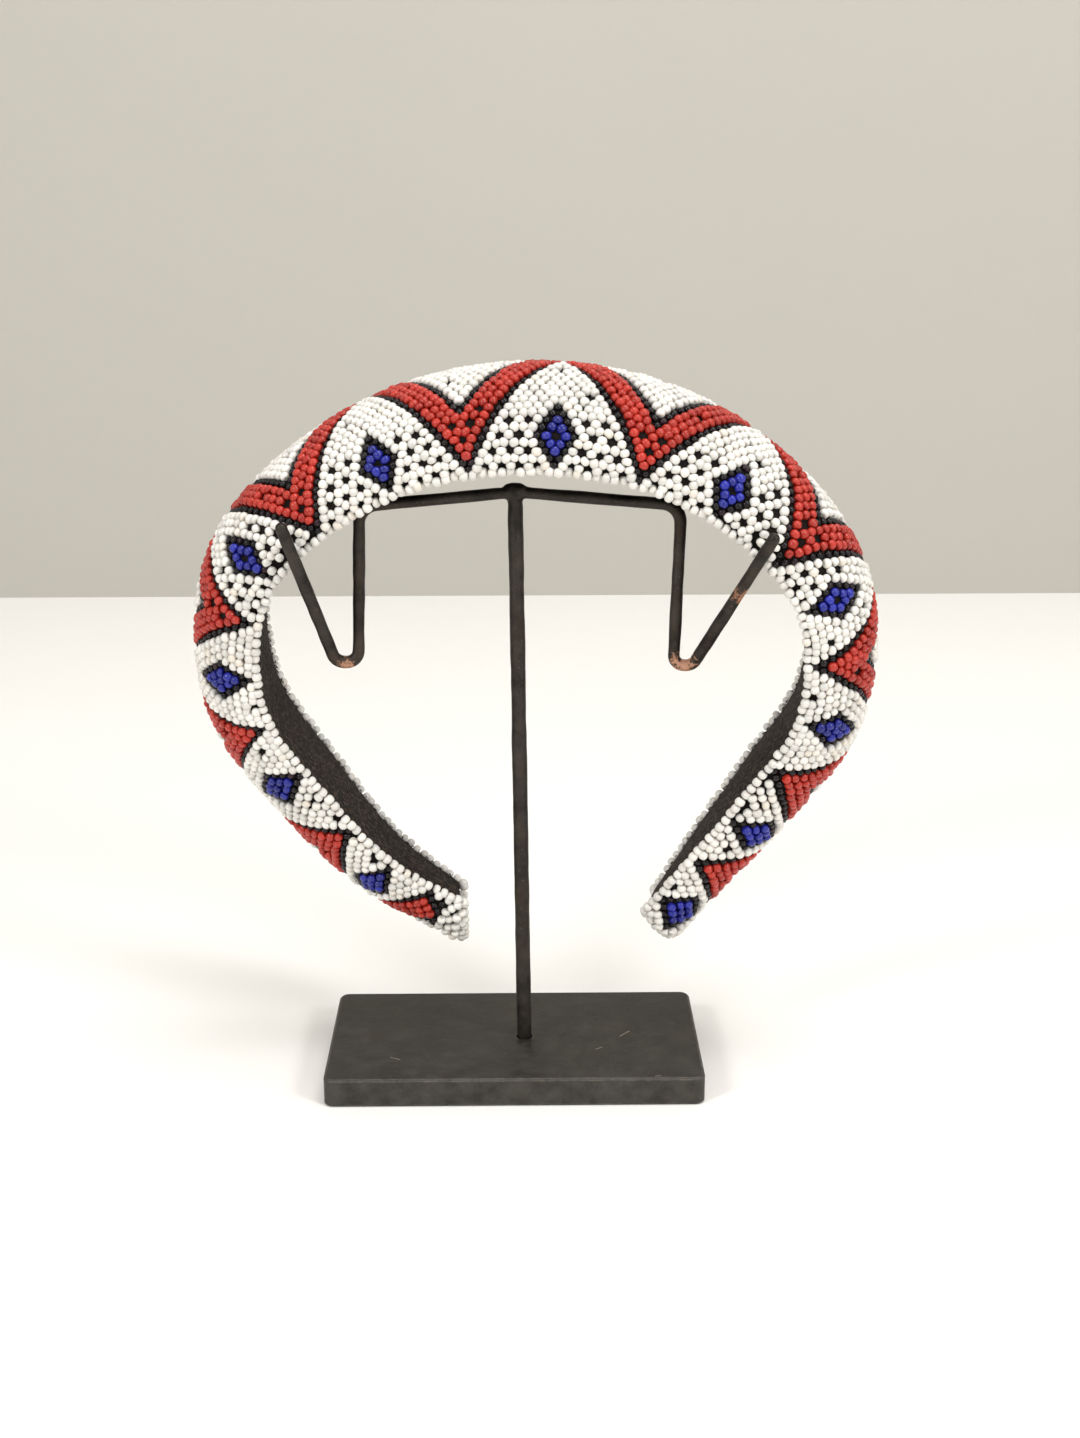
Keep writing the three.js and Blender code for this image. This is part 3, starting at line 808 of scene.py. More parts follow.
def spot_mark():
    """A mask round one place, with a ragged rim."""

    def fill(tree, given):
        place = own_place(tree)
        far = vector_node(tree, "DISTANCE", place, given["Place"])["Value"]
        share = math_node(tree, "DIVIDE", far, given["Size"])
        ragged = times(tree, noise(tree, place, 900.0, 5.0, 0.65), 2.4)
        return {"Mask": ranged(tree, plus(tree, share, ragged), 1.75, 1.45)}

    sockets = [("Place", VECTOR, (0, 0, 0)), ("Size", VALUE, 0.003)]
    return effect("spot_mark", sockets, [("Mask", VALUE)], fill)


def scratch_mark():
    """A mask along one straight scratch."""

    def fill(tree, given):
        place = own_place(tree)
        run = vector_node(tree, "SUBTRACT", given["To"], given["From"])["Vector"]
        away = vector_node(tree, "SUBTRACT", place, given["From"])["Vector"]
        reached = vector_node(tree, "DOT_PRODUCT", away, run)["Value"]
        whole = vector_node(tree, "DOT_PRODUCT", run, run)["Value"]
        share = ranged(tree, math_node(tree, "DIVIDE", reached, whole), 0.0, 1.0)
        scaled = {0: run, "Scale": share}
        nearest = node(tree, "ShaderNodeVectorMath", scaled, operation="SCALE").outputs["Vector"]
        far = vector_node(tree, "DISTANCE", away, nearest)["Value"]
        far = plus(tree, far, times(tree, noise(tree, place, 2500.0, 3.0), 0.0002))
        return {"Mask": ranged(tree, far, times(tree, given["Width"], 2.0), given["Width"])}

    sockets = [("From", VECTOR, (0, 0, 0)), ("To", VECTOR, (0.001, 0, 0)), ("Width", VALUE, 0.0002)]
    return effect("scratch_mark", sockets, [("Mask", VALUE)], fill)


def forged_iron():
    """Blackened iron: a mottled skin, brown bloom, rusty places by one mask, and by the other bare
    places and painted edge highlights.
    """

    def fill(tree, given):
        place = own_place(tree)
        mottle = ranged(tree, noise(tree, place, given["Mottle Scale"], 6.0, 0.6), 0.36, 0.66)
        bloom = ranged(tree, noise(tree, place, 75.0, 4.0, 0.6), 0.5, 0.72)
        skin = mixed(tree, mottle, given["Dark"], given["Light"])
        skin = mixed(tree, times(tree, bloom, given["Bloom"]), skin, (0.085, 0.045, 0.022, 1))
        speck = ranged(tree, noise(tree, place, 1900.0, 2.0), 0.68, 0.74)
        skin = mixed(tree, times(tree, speck, 0.5), skin, (0.20, 0.16, 0.12, 1))
        rust = mixed(tree, mottle, (0.28, 0.11, 0.05, 1), (0.55, 0.30, 0.19, 1))
        skin = mixed(tree, given["Rust Mask"], skin, rust)
        # Lighter bare colour along scratches and edges; along edges it is partly worn metal and
        # partly a painted edge highlight
        skin = mixed(tree, given["Bare Mask"], skin, (0.40, 0.34, 0.27, 1))
        grain = noise(tree, place, 950.0, 5.0, 0.7)
        dull = ranged(tree, mottle, 0.0, 1.0, 0.42, 0.66)
        return {
            "Colour": skin,
            "Roughness": math_node(tree, "SUBTRACT", dull, times(tree, given["Bare Mask"], 0.15)),
            "Metallic": ranged(tree, given["Rust Mask"], 0.0, 1.0, CLEAN_METAL, RUSTY_METAL),
            "Height": plus(tree, grain, times(tree, mottle, 0.8)),
        }

    sockets = [
        ("Dark", COLOUR, (0.02, 0.02, 0.02, 1)),
        ("Light", COLOUR, (0.08, 0.07, 0.06, 1)),
        ("Mottle Scale", VALUE, 220.0),
        ("Bloom", VALUE, 0.5),
        ("Rust Mask", VALUE, 0.0),
        ("Bare Mask", VALUE, 0.0),
    ]
    return effect("forged_iron", sockets, [*SURFACE, ("Metallic", VALUE)], fill)


# Materials


def started(name):
    """A new material with its shader and tree."""
    made = bpy.data.materials.new(name)
    made.use_nodes = True
    return made, made.node_tree, made.node_tree.nodes["Principled BSDF"]


def shaded(colour, share):
    """A colour with its fourth number, at a share of its strength."""
    return (*(c * share for c in colour), 1)


def wire(tree, shader, results, bump, distance):
    """Links an effect's colour, roughness and height to a shader."""
    tree.links.new(results["Colour"], shader.inputs["Base Color"])
    tree.links.new(results["Roughness"], shader.inputs["Roughness"])
    relief_of = {"Height": results["Height"], "Strength": bump, "Distance": distance}
    relief = node(tree, "ShaderNodeBump", relief_of)
    tree.links.new(relief.outputs["Normal"], shader.inputs["Normal"])


# For each glass: how deep its darkest beads are, colour and share of odd ones, dust, coat, gloss
GLASS = {
    "white_glass": (0.71, (0.58, 0.48, 0.36), 0.45, 0.06, 0.35, 0.5),
    "red_glass": (0.6, (0.24, 0.009, 0.008), 0.7, 0.015, 0.12, 0.35),
    "blue_glass": (0.38, (0.008, 0.008, 0.08), 0.8, 0.01, 0.12, 0.35),
    "black_glass": (0.34, (0.03, 0.012, 0.018), 0.8, 0.0, 0.05, 0.25),
}


def glass_beads(name):
    """Glossy seed-bead glass, tinted bead by bead."""
    if name in bpy.data.materials:
        return bpy.data.materials[name]
    depth, odd, odd_share, dust, coat, gloss = GLASS[name]
    pale = getattr(bpy.context.scene.headband_colours, name)
    made, tree, shader = started(name)
    inputs = {
        "Deep": shaded(pale, depth),
        "Pale": shaded(pale, 1),
        "Odd": shaded(odd, 1),
        "Odd Share": odd_share,
        "Patch Scale": 45.0,
        "Dust": dust,
    }
    wire(tree, shader, placed_effect(tree, glass_tint(), inputs), 0.12, GLASS_RELIEF)
    shader.inputs["Coat Weight"].default_value = coat
    shader.inputs["Coat Roughness"].default_value = 0.09
    shader.inputs["Specular IOR Level"].default_value = gloss
    if name == "white_glass":
        shader.inputs["Subsurface Weight"].default_value = 0.18
        shader.inputs["Subsurface Radius"].default_value = (1.0, 0.8, 0.55)
        shader.inputs["Subsurface Scale"].default_value = 0.0008
    return made


# For each cloth: how dark the painted shade in its weave's hollows is, lint colour, threads in a
# millimetre, lint and relief
CLOTH = {
    "core_cloth": (0.28, (0.04, 0.03, 0.025), 1.6, 0.25, 0.5),
    "lining_weave": (0.07, (0.17, 0.12, 0.085), 1.3, 0.75, 1.0),
    "black_thread": (0.23, (0.06, 0.05, 0.04), 3.0, 0.2, 0.3),
}


def cloth(name):
    """Black woven cloth with a dull sheen, painted shade in its weave's hollows and some lint."""
    if name in bpy.data.materials:
        return bpy.data.materials[name]
    depth, lint_colour, threads, lint, bump = CLOTH[name]
    light = getattr(bpy.context.scene.headband_colours, name)
    made, tree, shader = started(name)
    inputs = {
        # Dark: the painted shade of the weave's hollows, at a share of the raised threads' colour
        "Dark": shaded(light, depth),
        "Light": shaded(light, 1),
        "Lint Colour": shaded(lint_colour, 1),
        "Threads": threads,
        "Lint": lint,
    }
    wire(tree, shader, placed_effect(tree, woven_thread(), inputs), bump, WEAVE_RELIEF)
    shader.inputs["Sheen Weight"].default_value = 0.03
    shader.inputs["Sheen Roughness"].default_value = 0.4
    shader.inputs["Specular IOR Level"].default_value = 0.15
    return made


def iron(name, spots_at=(), scratches=()):
    """Blackened iron, with its own rust spots and scratches."""
    if name in bpy.data.materials:
        return bpy.data.materials[name]
    depth, bloom, bare_and_highlit_width = IRON[name]
    light = getattr(bpy.context.scene.headband_colours, name)
    made, tree, shader = started(name)
    # Edges made lighter: worn bare metal and a painted edge highlight
    bare_and_highlit = times(tree, placed_effect(tree, edge_wear(), {"Width": bare_and_highlit_width})["Mask"], BARE_AND_HIGHLIT_EDGE)
    for start, end in scratches:
        scratch = {"From": start, "To": end, "Width": SCRATCH_WIDTH}
        mask = placed_effect(tree, scratch_mark(), scratch)["Mask"]
        bare_and_highlit = math_node(tree, "MAXIMUM", bare_and_highlit, mask)
    inputs = {
        "Dark": shaded(light, depth),
        "Light": shaded(light, 1),
        "Mottle Scale": 190.0,
        "Bloom": bloom,
        "Bare Mask": bare_and_highlit,
    }
    for at, size in spots_at:
        rust = placed_effect(tree, spot_mark(), {"Place": at, "Size": size})["Mask"]
        if "Rust Mask" in inputs:
            rust = math_node(tree, "MAXIMUM", inputs["Rust Mask"], rust)
        inputs["Rust Mask"] = rust
    results = placed_effect(tree, forged_iron(), inputs)
    wire(tree, shader, results, 0.35, IRON_RELIEF)
    shader.inputs["Metallic"].default_value = CLEAN_METAL
    if spots_at:
        tree.links.new(results["Metallic"], shader.inputs["Metallic"])
    return made


def painted_board(name, colour, roughness, patch_scale):
    """The studio's table or wall: smooth, with a faint unevenness."""
    made, tree, shader = started(name)
    patch = ranged(tree, noise(tree, own_place(tree), patch_scale, 3.0), 0.3, 0.7)
    low = tuple(c * 0.985 for c in colour)
    tree.links.new(mixed(tree, patch, (*low, 1), (*colour, 1)), shader.inputs["Base Color"])
    shader.inputs["Roughness"].default_value = roughness
    return made


# Settings


class HeadbandSizes(bpy.types.PropertyGroup):
    """Sizes of the beads, the threads and the cloth."""

    seed: bpy.props.IntProperty(
        name="Seed", description="Chooses the small differences", default=4, min=0
    )
    bead_width: bpy.props.FloatProperty(
        name="Bead width", description="Width of a seed bead across its hole", default=0.00234,
        subtype="DISTANCE", unit="LENGTH",
    )
    bead_length: bpy.props.FloatProperty(
        name="Bead length", description="Length of a seed bead along its hole", default=0.00214,
        subtype="DISTANCE", unit="LENGTH",
    )
    edge_pitch: bpy.props.FloatProperty(
        name="Edge pitch",
        description="From one bead to the next along both edges",
        default=0.00215,
        subtype="DISTANCE", unit="LENGTH",
    )
    thread: bpy.props.FloatProperty(
        name="Thread", description="Thickness of the sewing thread", default=0.00024,
        subtype="DISTANCE", unit="LENGTH",
    )
    rod_detail: bpy.props.FloatProperty(
        name="Rod detail", description="Size of a face on the iron rods", default=0.0003,
        subtype="DISTANCE", unit="LENGTH",
    )


class HeadbandColours(bpy.types.PropertyGroup):
    """Colours of the beads, the cloth and the iron; each finish takes the one with its own name."""

    white_glass: bpy.props.FloatVectorProperty(
        name="White beads",
        description="Colour of the palest white beads",
        default=(0.82, 0.795, 0.745),
        subtype="COLOR", min=0, max=1,
    )
    red_glass: bpy.props.FloatVectorProperty(
        name="Red beads",
        description="Colour of the palest red beads",
        default=(0.50, 0.031, 0.018),
        subtype="COLOR", min=0, max=1,
    )
    blue_glass: bpy.props.FloatVectorProperty(
        name="Blue beads",
        description="Colour of the palest blue beads",
        default=(0.019, 0.026, 0.34),
        subtype="COLOR", min=0, max=1,
    )
    black_glass: bpy.props.FloatVectorProperty(
        name="Black beads",
        description="Colour of the palest black beads",
        default=(0.012, 0.009, 0.010),
        subtype="COLOR", min=0, max=1,
    )
    core_cloth: bpy.props.FloatVectorProperty(
        name="Core cloth",
        description="Colour of the cloth under the net",
        default=(0.014, 0.011, 0.010),
        subtype="COLOR", min=0, max=1,
    )
    lining_weave: bpy.props.FloatVectorProperty(
        name="Lining",
        description="Colour of the lining's raised threads",
        default=(0.030, 0.022, 0.016),
        subtype="COLOR", min=0, max=1,
    )
    black_thread: bpy.props.FloatVectorProperty(
        name="Sewing thread",
        description="Colour of the sewing thread",
        default=(0.022, 0.018, 0.015),
        subtype="COLOR", min=0, max=1,
    )
    rod_iron: bpy.props.FloatVectorProperty(
        name="Rods",
        description="Colour of the light places on the rods",
        default=(0.062, 0.052, 0.043),
        subtype="COLOR", min=0, max=1,
    )
    plate_iron: bpy.props.FloatVectorProperty(
        name="Base plate",
        description="Colour of the light places on the base plate",
        default=(0.080, 0.075, 0.066),
        subtype="COLOR", min=0, max=1,
    )


class StudioLook(bpy.types.PropertyGroup):
    """The camera and the light."""

    focal_length: bpy.props.FloatProperty(
        name="Focal length", description="Lens of the camera, in millimetres", default=47.57
    )
    look_down: bpy.props.FloatProperty(
        name="Look down",
        description="How far the camera looks down",
        default=math.radians(16.35),
        subtype="ANGLE", unit="ROTATION",
    )
    look_right: bpy.props.FloatProperty(
        name="Look right",
        description="How far the camera looks to the right",
        default=math.radians(0.64),
        subtype="ANGLE", unit="ROTATION",
    )
    roll: bpy.props.FloatProperty(
        name="Roll",
        description="How far the camera tips to one side",
        default=math.radians(0.11),
        subtype="ANGLE", unit="ROTATION",
    )
    camera_place: bpy.props.FloatVectorProperty(
        name="Camera place",
        description="Where the camera stands",
        default=(0.0017, -0.4446, 0.2217),
        subtype="TRANSLATION", unit="LENGTH",
    )
    wall_distance: bpy.props.FloatProperty(
        name="Wall distance", description="From the stand back to the wall", default=0.545,
        subtype="DISTANCE", unit="LENGTH",
    )
    table_colour: bpy.props.FloatVectorProperty(
        name="Table colour", description="Colour of the table", default=(0.90, 0.885, 0.85),
        subtype="COLOR", min=0, max=1,
    )
    wall_colour: bpy.props.FloatVectorProperty(
        name="Wall colour", description="Colour of the wall", default=(0.440, 0.420, 0.376),
        subtype="COLOR", min=0, max=1,
    )
    sky: bpy.props.FloatProperty(
        name="Sky", description="Strength of the even light", default=0.6, min=0
    )
    key: bpy.props.FloatProperty(
        name="Top light", description="Power of the light above", default=6.5, unit="POWER"
    )
    fill: bpy.props.FloatProperty(
        name="Side lights",
        description="Power of each light at the side",
        default=7.0, unit="POWER"
    )


# Pieces: the headband


class HEADBAND_OT_core(bpy.types.Operator):
    """Builds the padded core under the net, in black cloth"""

    bl_idname = "headband.core"
    bl_label = "Padded core"

    def execute(self, context):
        sizes = context.scene.headband_sizes
        inset = sizes.bead_width / MM * CORE_SHARE

        def ring(section):
            reach = section["width"] - inset
            height = section["dome"] - inset
            angles = np.linspace(0, math.pi, 29)
            rise = height - CORE_FLOOR
            top = [
                spots(section, -reach * math.cos(a), CORE_FLOOR + rise * math.sin(a))
                for a in angles
            ]
            shares = np.linspace(CORE_REACH, -CORE_REACH, 15)
            return top + [inner_face(section, share, CORE_FLOOR, inset) for share in shares]

        points, faces, strip = band_loft(ring, CORE_STATIONS, CORE_START)
        rng = np.random.default_rng(sizes.seed + 2)
        points = points + rng.normal(0, CORE_UNEVEN, points.shape)
        core = new_piece("padded_core", placed(points), faces, cloth("core_cloth"), strip=strip)
        settle(core, ["band_pad"])
        return {"FINISHED"}


class HEADBAND_OT_lining(bpy.types.Operator):
    """Builds the black lining, stretched over the inner face and sewn along both edges"""

    bl_idname = "headband.lining"
    bl_label = "Lining"

    def execute(self, context):
        sizes = context.scene.headband_sizes
        shares = np.linspace(-1, 1, 25)
        rng = np.random.default_rng(sizes.seed + 3)
        length = np.linspace(LINING_START, CROWN_LENGTH - LINING_START, LINING_STATIONS)
        pucker = EDGE_LIFT + PUCKER * np.abs(np.sin(length * math.pi / (2 * COLUMN)))

        def face(section, share, lift):
            return inner_face(section, share, LINING_LIFT + lift, LINING_INSET)

        def ring(section):
            inner = [face(section, share, pucker * abs(share) ** 5) for share in shares]
            outer = [face(section, share, LINING_THICK) for share in shares[::-1]]
            return inner + outer

        points, faces, strip = band_loft(ring, LINING_STATIONS, LINING_START)
        points = points + rng.normal(0, LINING_UNEVEN, points.shape)
        paint = cloth("lining_weave")
        lining = new_piece("lining_cloth", placed(points), faces, paint, strip=strip)
        settle(lining, ["band_lining"])
        middle = sections_along(length)
        return {"FINISHED"}


class HEADBAND_OT_net(bpy.types.Operator):
    """Threads the bead net with its zigzag and its diamonds"""

    bl_idname = "headband.net"
    bl_label = "Bead net"

    def execute(self, context):
        sizes = context.scene.headband_sizes
        rng = np.random.default_rng(sizes.seed)
        beads = net_beads()
        c, q, slope = (np.array([bead[k] for bead in beads], float) for k in range(3))
        colour = np.array([bead[3] for bead in beads])
        size = bead_size(sizes)
        drift_c = DRIFT_COLUMN * np.sin(c * 1.7 + q * 0.9)
        drift_q = DRIFT_ROW * np.sin(c * 0.8 - q * 1.3)
        column = c + rng.normal(0, STRAY_COLUMN, len(c)) + drift_c
        row = q + rng.normal(0, STRAY_ROW, len(c)) + drift_q

        def on_band(columns, rows, depth):
            return dome_spots(sections_along(length_at(columns)), rows / edge_row(columns), depth)

        inset = size[0] / 2
        sunk = np.where(colour == "black", OUTLINE_DEPTH, 0.0)
        depth = inset + rng.normal(0, STRAY_DEPTH, len(c)) + sunk
        centres, facing = on_band(column, row, depth)
        step_c = THREAD_STEP * np.where(slope == 0, 0, 1)
        step_q = THREAD_STEP * np.where(slope == 0, 1, slope)
        ahead, _ = on_band(column + step_c, row + step_q, inset)
        behind, _ = on_band(column - step_c, row - step_q, inset)
        axes = ahead - behind
        front = q < zigzag_row(np.clip(c, 0, LAST_COLUMN))
        white = colour == "white"
        diamonds = [name for name in NODES if name.startswith("blue_diamond")]
        groups = [
            ("white_net_front", white & front, "white", "white_beads", ["white_ground_front"]),
            ("white_net_back", white & ~front, "white", "white_beads", ["white_ground_back"]),
            ("red_zigzag_beads", colour == "red", "red", "red_beads", ["red_zigzag"]),
            ("blue_diamond_beads", colour == "blue", "blue", "blue_beads", diamonds),
            ("black_outline_beads", colour == "black", "black", "blue_beads", []),
        ]
        for name, chosen, glass, slot, nodes in groups:
            chosen_beads = (centres[chosen], axes[chosen], facing[chosen])
            share = OUTLINE_SHARE if glass == "black" else 1.0
            scaled = (size[0] * share, size[1] * share)
            paint = glass_beads(glass + "_glass")
            settle(bead_mesh(name, chosen_beads, scaled, paint, rng), nodes)
        return {"FINISHED"}


class HEADBAND_OT_edges(bpy.types.Operator):
    """Lays the rows of white beads along both edges of the net"""

    bl_idname = "headband.edges"
    bl_label = "Edge beads"

    def execute(self, context):
        sizes = context.scene.headband_sizes
        rng = np.random.default_rng(sizes.seed + 1)
        size = bead_size(sizes)
        pitch = sizes.edge_pitch / MM
        length = np.linspace(EDGE_START, CROWN_LENGTH - EDGE_START, EDGE_STATIONS)
        section = sections_along(length)
        for name, place in (("edge_beads_front", -EDGE_PLACE), ("edge_beads_back", EDGE_PLACE)):
            points, facing = dome_spots(section, np.full(len(length), place), size[0] / 2)
            centres, axes, out = spaced(points, facing, pitch)
            third = np.arange(len(centres)) % 3 == 1
            tuck = np.where(third, TUCKED, PROUD) + rng.normal(0, STRAY_TUCK, len(centres))
            centres = centres - out * tuck[:, None] + rng.normal(0, STRAY_EDGE, centres.shape)
            beads = bead_mesh(name, (centres, axes, out), size, glass_beads("white_glass"), rng)
            settle(beads)
        return {"FINISHED"}


class HEADBAND_OT_ends(bpy.types.Operator):
    """Closes both ends of the band with white beads"""

    bl_idname = "headband.ends"
    bl_label = "End beads"

    def execute(self, context):
        sizes = context.scene.headband_sizes
        rng = np.random.default_rng(sizes.seed + 5)
        size = bead_size(sizes)
        for name, end, way, solid in (
            ("end_beads_left", 0.0, 1, "bead_end_left"),
            ("end_beads_right", CROWN_LENGTH, -1, "bead_end_right"),
        ):
            rows = [self.rim(end + way * RIM_START, size[0] / 2)]
            section = sections_along(np.full(END_STATIONS, end + way * END_DEPTH))
            normal = np.cross(section["across"][0], section["up"][0])
            normal *= -way * np.sign(normal @ section["along"][0]) / np.linalg.norm(normal)
            inset = size[0] / 2
            while inset < section["dome"][0] - END_MIDDLE:
                angles = np.linspace(END_TURN, math.pi - END_TURN, END_STATIONS)
                across = -(section["width"] - inset) * np.cos(angles)
                up = (section["dome"] - inset) * np.sin(angles) + END_LIFT
                line = spots(section, across, up) - normal * size[0] / 2
                facing = np.tile(normal, (END_STATIONS, 1))
                rows.append(spaced(line, facing, size[0] * CLOSE))
                inset += size[0] * ROUND
            beads = tuple(np.vstack(part) for part in zip(*rows))
            made = bead_mesh(name, beads, size, glass_beads("white_glass"), rng)
            settle(made, [solid])
        return {"FINISHED"}

    @staticmethod
    def rim(length, inset):
        """A row of beads round the dome at one length along the band."""
        section = sections_along(np.full(END_STATIONS, length))
        shares = np.linspace(-RIM_PLACE, RIM_PLACE, END_STATIONS)
        points, facing = dome_spots(section, shares, inset)
        return spaced(points, facing, 2 * inset * CLOSE)


class HEADBAND_OT_stitches(bpy.types.Operator):
    """Sews the net to the lining with black thread, a stitch at every mesh of the net"""

    bl_idname = "headband.stitches"
    bl_label = "Sewing thread"

    def execute(self, context):
        sizes = context.scene.headband_sizes
        rng = np.random.default_rng(sizes.seed + 4)
        radius = sizes.thread / MM / 2
        stitches = []
        for sign in (-1, 1):
            for length in np.arange(STITCH_START, CROWN_LENGTH - STITCH_START, COLUMN):
                at = length + rng.normal(0, STITCH_STRAY)
                reach = rng.uniform(*STITCH_REACH)
                lift = rng.uniform(*STITCH_LIFT)
                start, end = (at + run for run in STITCH_RUN)
                section = sections_along(np.linspace(start, end, STITCH_POINTS))
                bow = np.sin(np.linspace(0, math.pi, STITCH_POINTS))
                in_from_edge = STITCH_INSET + (reach - STITCH_INSET) * bow
                across = sign * (section["width"] - in_from_edge)
                share = across / (section["width"] - LINING_INSET)
                inward = section["sag"] * np.maximum(1 - share**2, 0)
                up = STITCH_FLOOR - inward - (STITCH_BOW + lift) * bow
                line = spots(section, across, up)
                stitches.append(tube(line, radius, 5))
        points, faces = joined(stitches)
        strip = np.stack([points[:, 0], points[:, 2], 0 * points[:, 0]], 1)
        paint = cloth("black_thread")
        thread = new_piece("sewing_thread", placed(points), faces, paint, strip=strip)
        settle(thread)
        return {"FINISHED"}


# Pieces: the stand


def rounded_path(corners, steps):
    """Points along straight runs whose corners are rounded to their radii."""
    points = [np.array(corners[0][0], float)]
    for (before, _), (corner, radius), (after, _) in zip(corners, corners[1:], corners[2:]):
        back, ahead = np.array(before) - corner, np.array(after) - corner
        back_length, ahead_length = np.linalg.norm(back), np.linalg.norm(ahead)
        back, ahead = back / back_length, ahead / ahead_length
        half = math.acos(np.clip(back @ ahead, -1, 1)) / 2
        setback = min(radius / math.tan(half), back_length * 0.48, ahead_length * 0.48)
        bow = setback * math.tan(half)
        middle = back + ahead
        centre = middle / np.linalg.norm(middle) * bow / math.sin(half) + corner
        start, end = back * setback + corner - centre, ahead * setback + corner - centre
        sweep = math.pi - 2 * half
        for k in range(steps + 1):
            share = k / steps
            arm = start * math.sin((1 - share) * sweep) + end * math.sin(share * sweep)
            points.append(arm / math.sin(sweep) + centre)
    points.append(np.array(corners[-1][0], float))
    return np.array(points)


def hook_corners(hook, top):
    """Corners of one hook, from the bar's end down the leg, under and up the arm."""
    side, span, leg, mouth, spread, rise, reach = hook
    leg_x = top[0] + side * span * HOOK_SPAN
    high = top[2] - BAR_DROOP
    low = high - leg * LEG_LENGTH
    width = mouth * HOOK_MOUTH
    tip = (leg_x + side * spread * ARM_SPREAD, POST_Y - reach * ARM_REACH, low + rise * ARM_RISE)
    return [
        ((leg_x, POST_Y, high), CORNER_RADIUS),
        ((leg_x - LEG_LEAN, POST_Y, low), width / 2),
        ((leg_x - LEG_LEAN + side * width, POST_Y - ROD / 2, low), width * ARM_ROUND),
        (tip, 0),
    ]


def refined(points, step):
    """The same line with points no further apart than a step."""
    run = np.concatenate([[0], np.cumsum(np.linalg.norm(np.diff(points, axis=0), axis=1))])
    at = np.unique(np.concatenate([run, np.arange(0, run[-1], step)]))
    return np.stack([np.interp(at, run, points[:, k]) for k in range(3)], 1)


class HEADBAND_OT_rods(bpy.types.Operator):
    """Bends and welds the post, the crossbar and both hooks from iron rod"""

    bl_idname = "headband.rods"
    bl_label = "Iron rods"

    def execute(self, context):
        sizes = context.scene.headband_sizes
        top = np.array([POST_X - POST_LEAN, POST_Y, BASE_TOP + POST_HEIGHT])
        foot = np.array([POST_X, POST_Y, BASE_TOP])
        left, right = (hook_corners(hook, top) for hook in HOOKS)
        bar = rounded_path([*left[::-1], (top, BAR_BEND), *right], BEND_STEPS)
        post = refined(np.array([foot - [0, 0, SOCKET], foot, top]), POST_STEP)
        weld = (WELD_LENGTH / WELD_HEIGHT, 0.8, 1)
        shapes = [
            tube(refined(bar, BAR_STEP), ROD / 2, 28),
            tube(post, POST / 2, 32),
            ball(top, WELD_HEIGHT / 2, weld),
            ball(bar[0], ROD / 2, (1, 1, 1)),
            ball(bar[-1], ROD / 2, (1, 1, 1)),
        ]
        points, faces = joined(shapes)
        paint = iron("rod_iron", spots_at=RUST_ON_RODS)
        rods = new_piece("iron_rods", points * MM, faces, paint)
        self.weld_together(context, rods, sizes.rod_detail)
        self.hammer(rods.data, sizes.seed)
        settle(rods, ["stand_frame"])
        return {"FINISHED"}

    @staticmethod
    def weld_together(context, rods, size):
        """Makes one skin of the rods and the weld, and smooths it."""
        remesh = rods.modifiers.new("one_skin", "REMESH")
        remesh.mode = "VOXEL"
        remesh.voxel_size = size
        remesh.use_smooth_shade = True
        smooth = rods.modifiers.new("even_skin", "SMOOTH")
        smooth.factor = 0.5
        smooth.iterations = 3
        graph = context.evaluated_depsgraph_get()
        skin = bpy.data.meshes.new_from_object(rods.evaluated_get(graph))
        rods.modifiers.clear()
        rods.data = skin
        skin.polygons.foreach_set("use_smooth", [True] * len(skin.polygons))

    @staticmethod
    def hammer(mesh, seed):
        """Makes the rods slightly uneven, and the weld lumpy."""
        count = len(mesh.vertices)
        places = np.empty(count * 3)
        mesh.vertices.foreach_get("co", places)
        normals = np.empty(count * 3)
        mesh.vertices.foreach_get("normal", normals)
        places, normals = places.reshape(-1, 3), normals.reshape(-1, 3)
        rng = np.random.default_rng(seed + 6)
        push = np.zeros(count)
        for scale, reach in HAMMER_MARKS:
            ways = rng.normal(0, 1, (5, 3))
            shifts = rng.uniform(0, 2 * math.pi, 5)
            push += reach * np.sin(places @ ways.T / scale * 3 + shifts).mean(1) * 2
        top = np.array([POST_X - POST_LEAN, POST_Y, BASE_TOP + POST_HEIGHT]) * MM
        near = np.clip(1 - np.linalg.norm(places - top, axis=1) / LUMP_REACH, 0, 1)
        x, y, z = places.T
        lumps = np.sin(x * 2300 + 1) * np.sin(z * 1900 + 2) * np.cos(y * 2500)
        push += near * lumps * LUMP_HEIGHT
        mesh.vertices.foreach_set("co", (places + normals * push[:, None]).ravel())
        mesh.update()


class HEADBAND_OT_base(bpy.types.Operator):
    """Finishes the iron base plate"""

    bl_idname = "headband.base"
    bl_label = "Base plate"

    def execute(self, context):
        plate = NODES["stand_base"]
        plate.data.materials.clear()
        plate.data.materials.append(iron("plate_iron", scratches=SCRATCHES))
        return {"FINISHED"}


# The studio


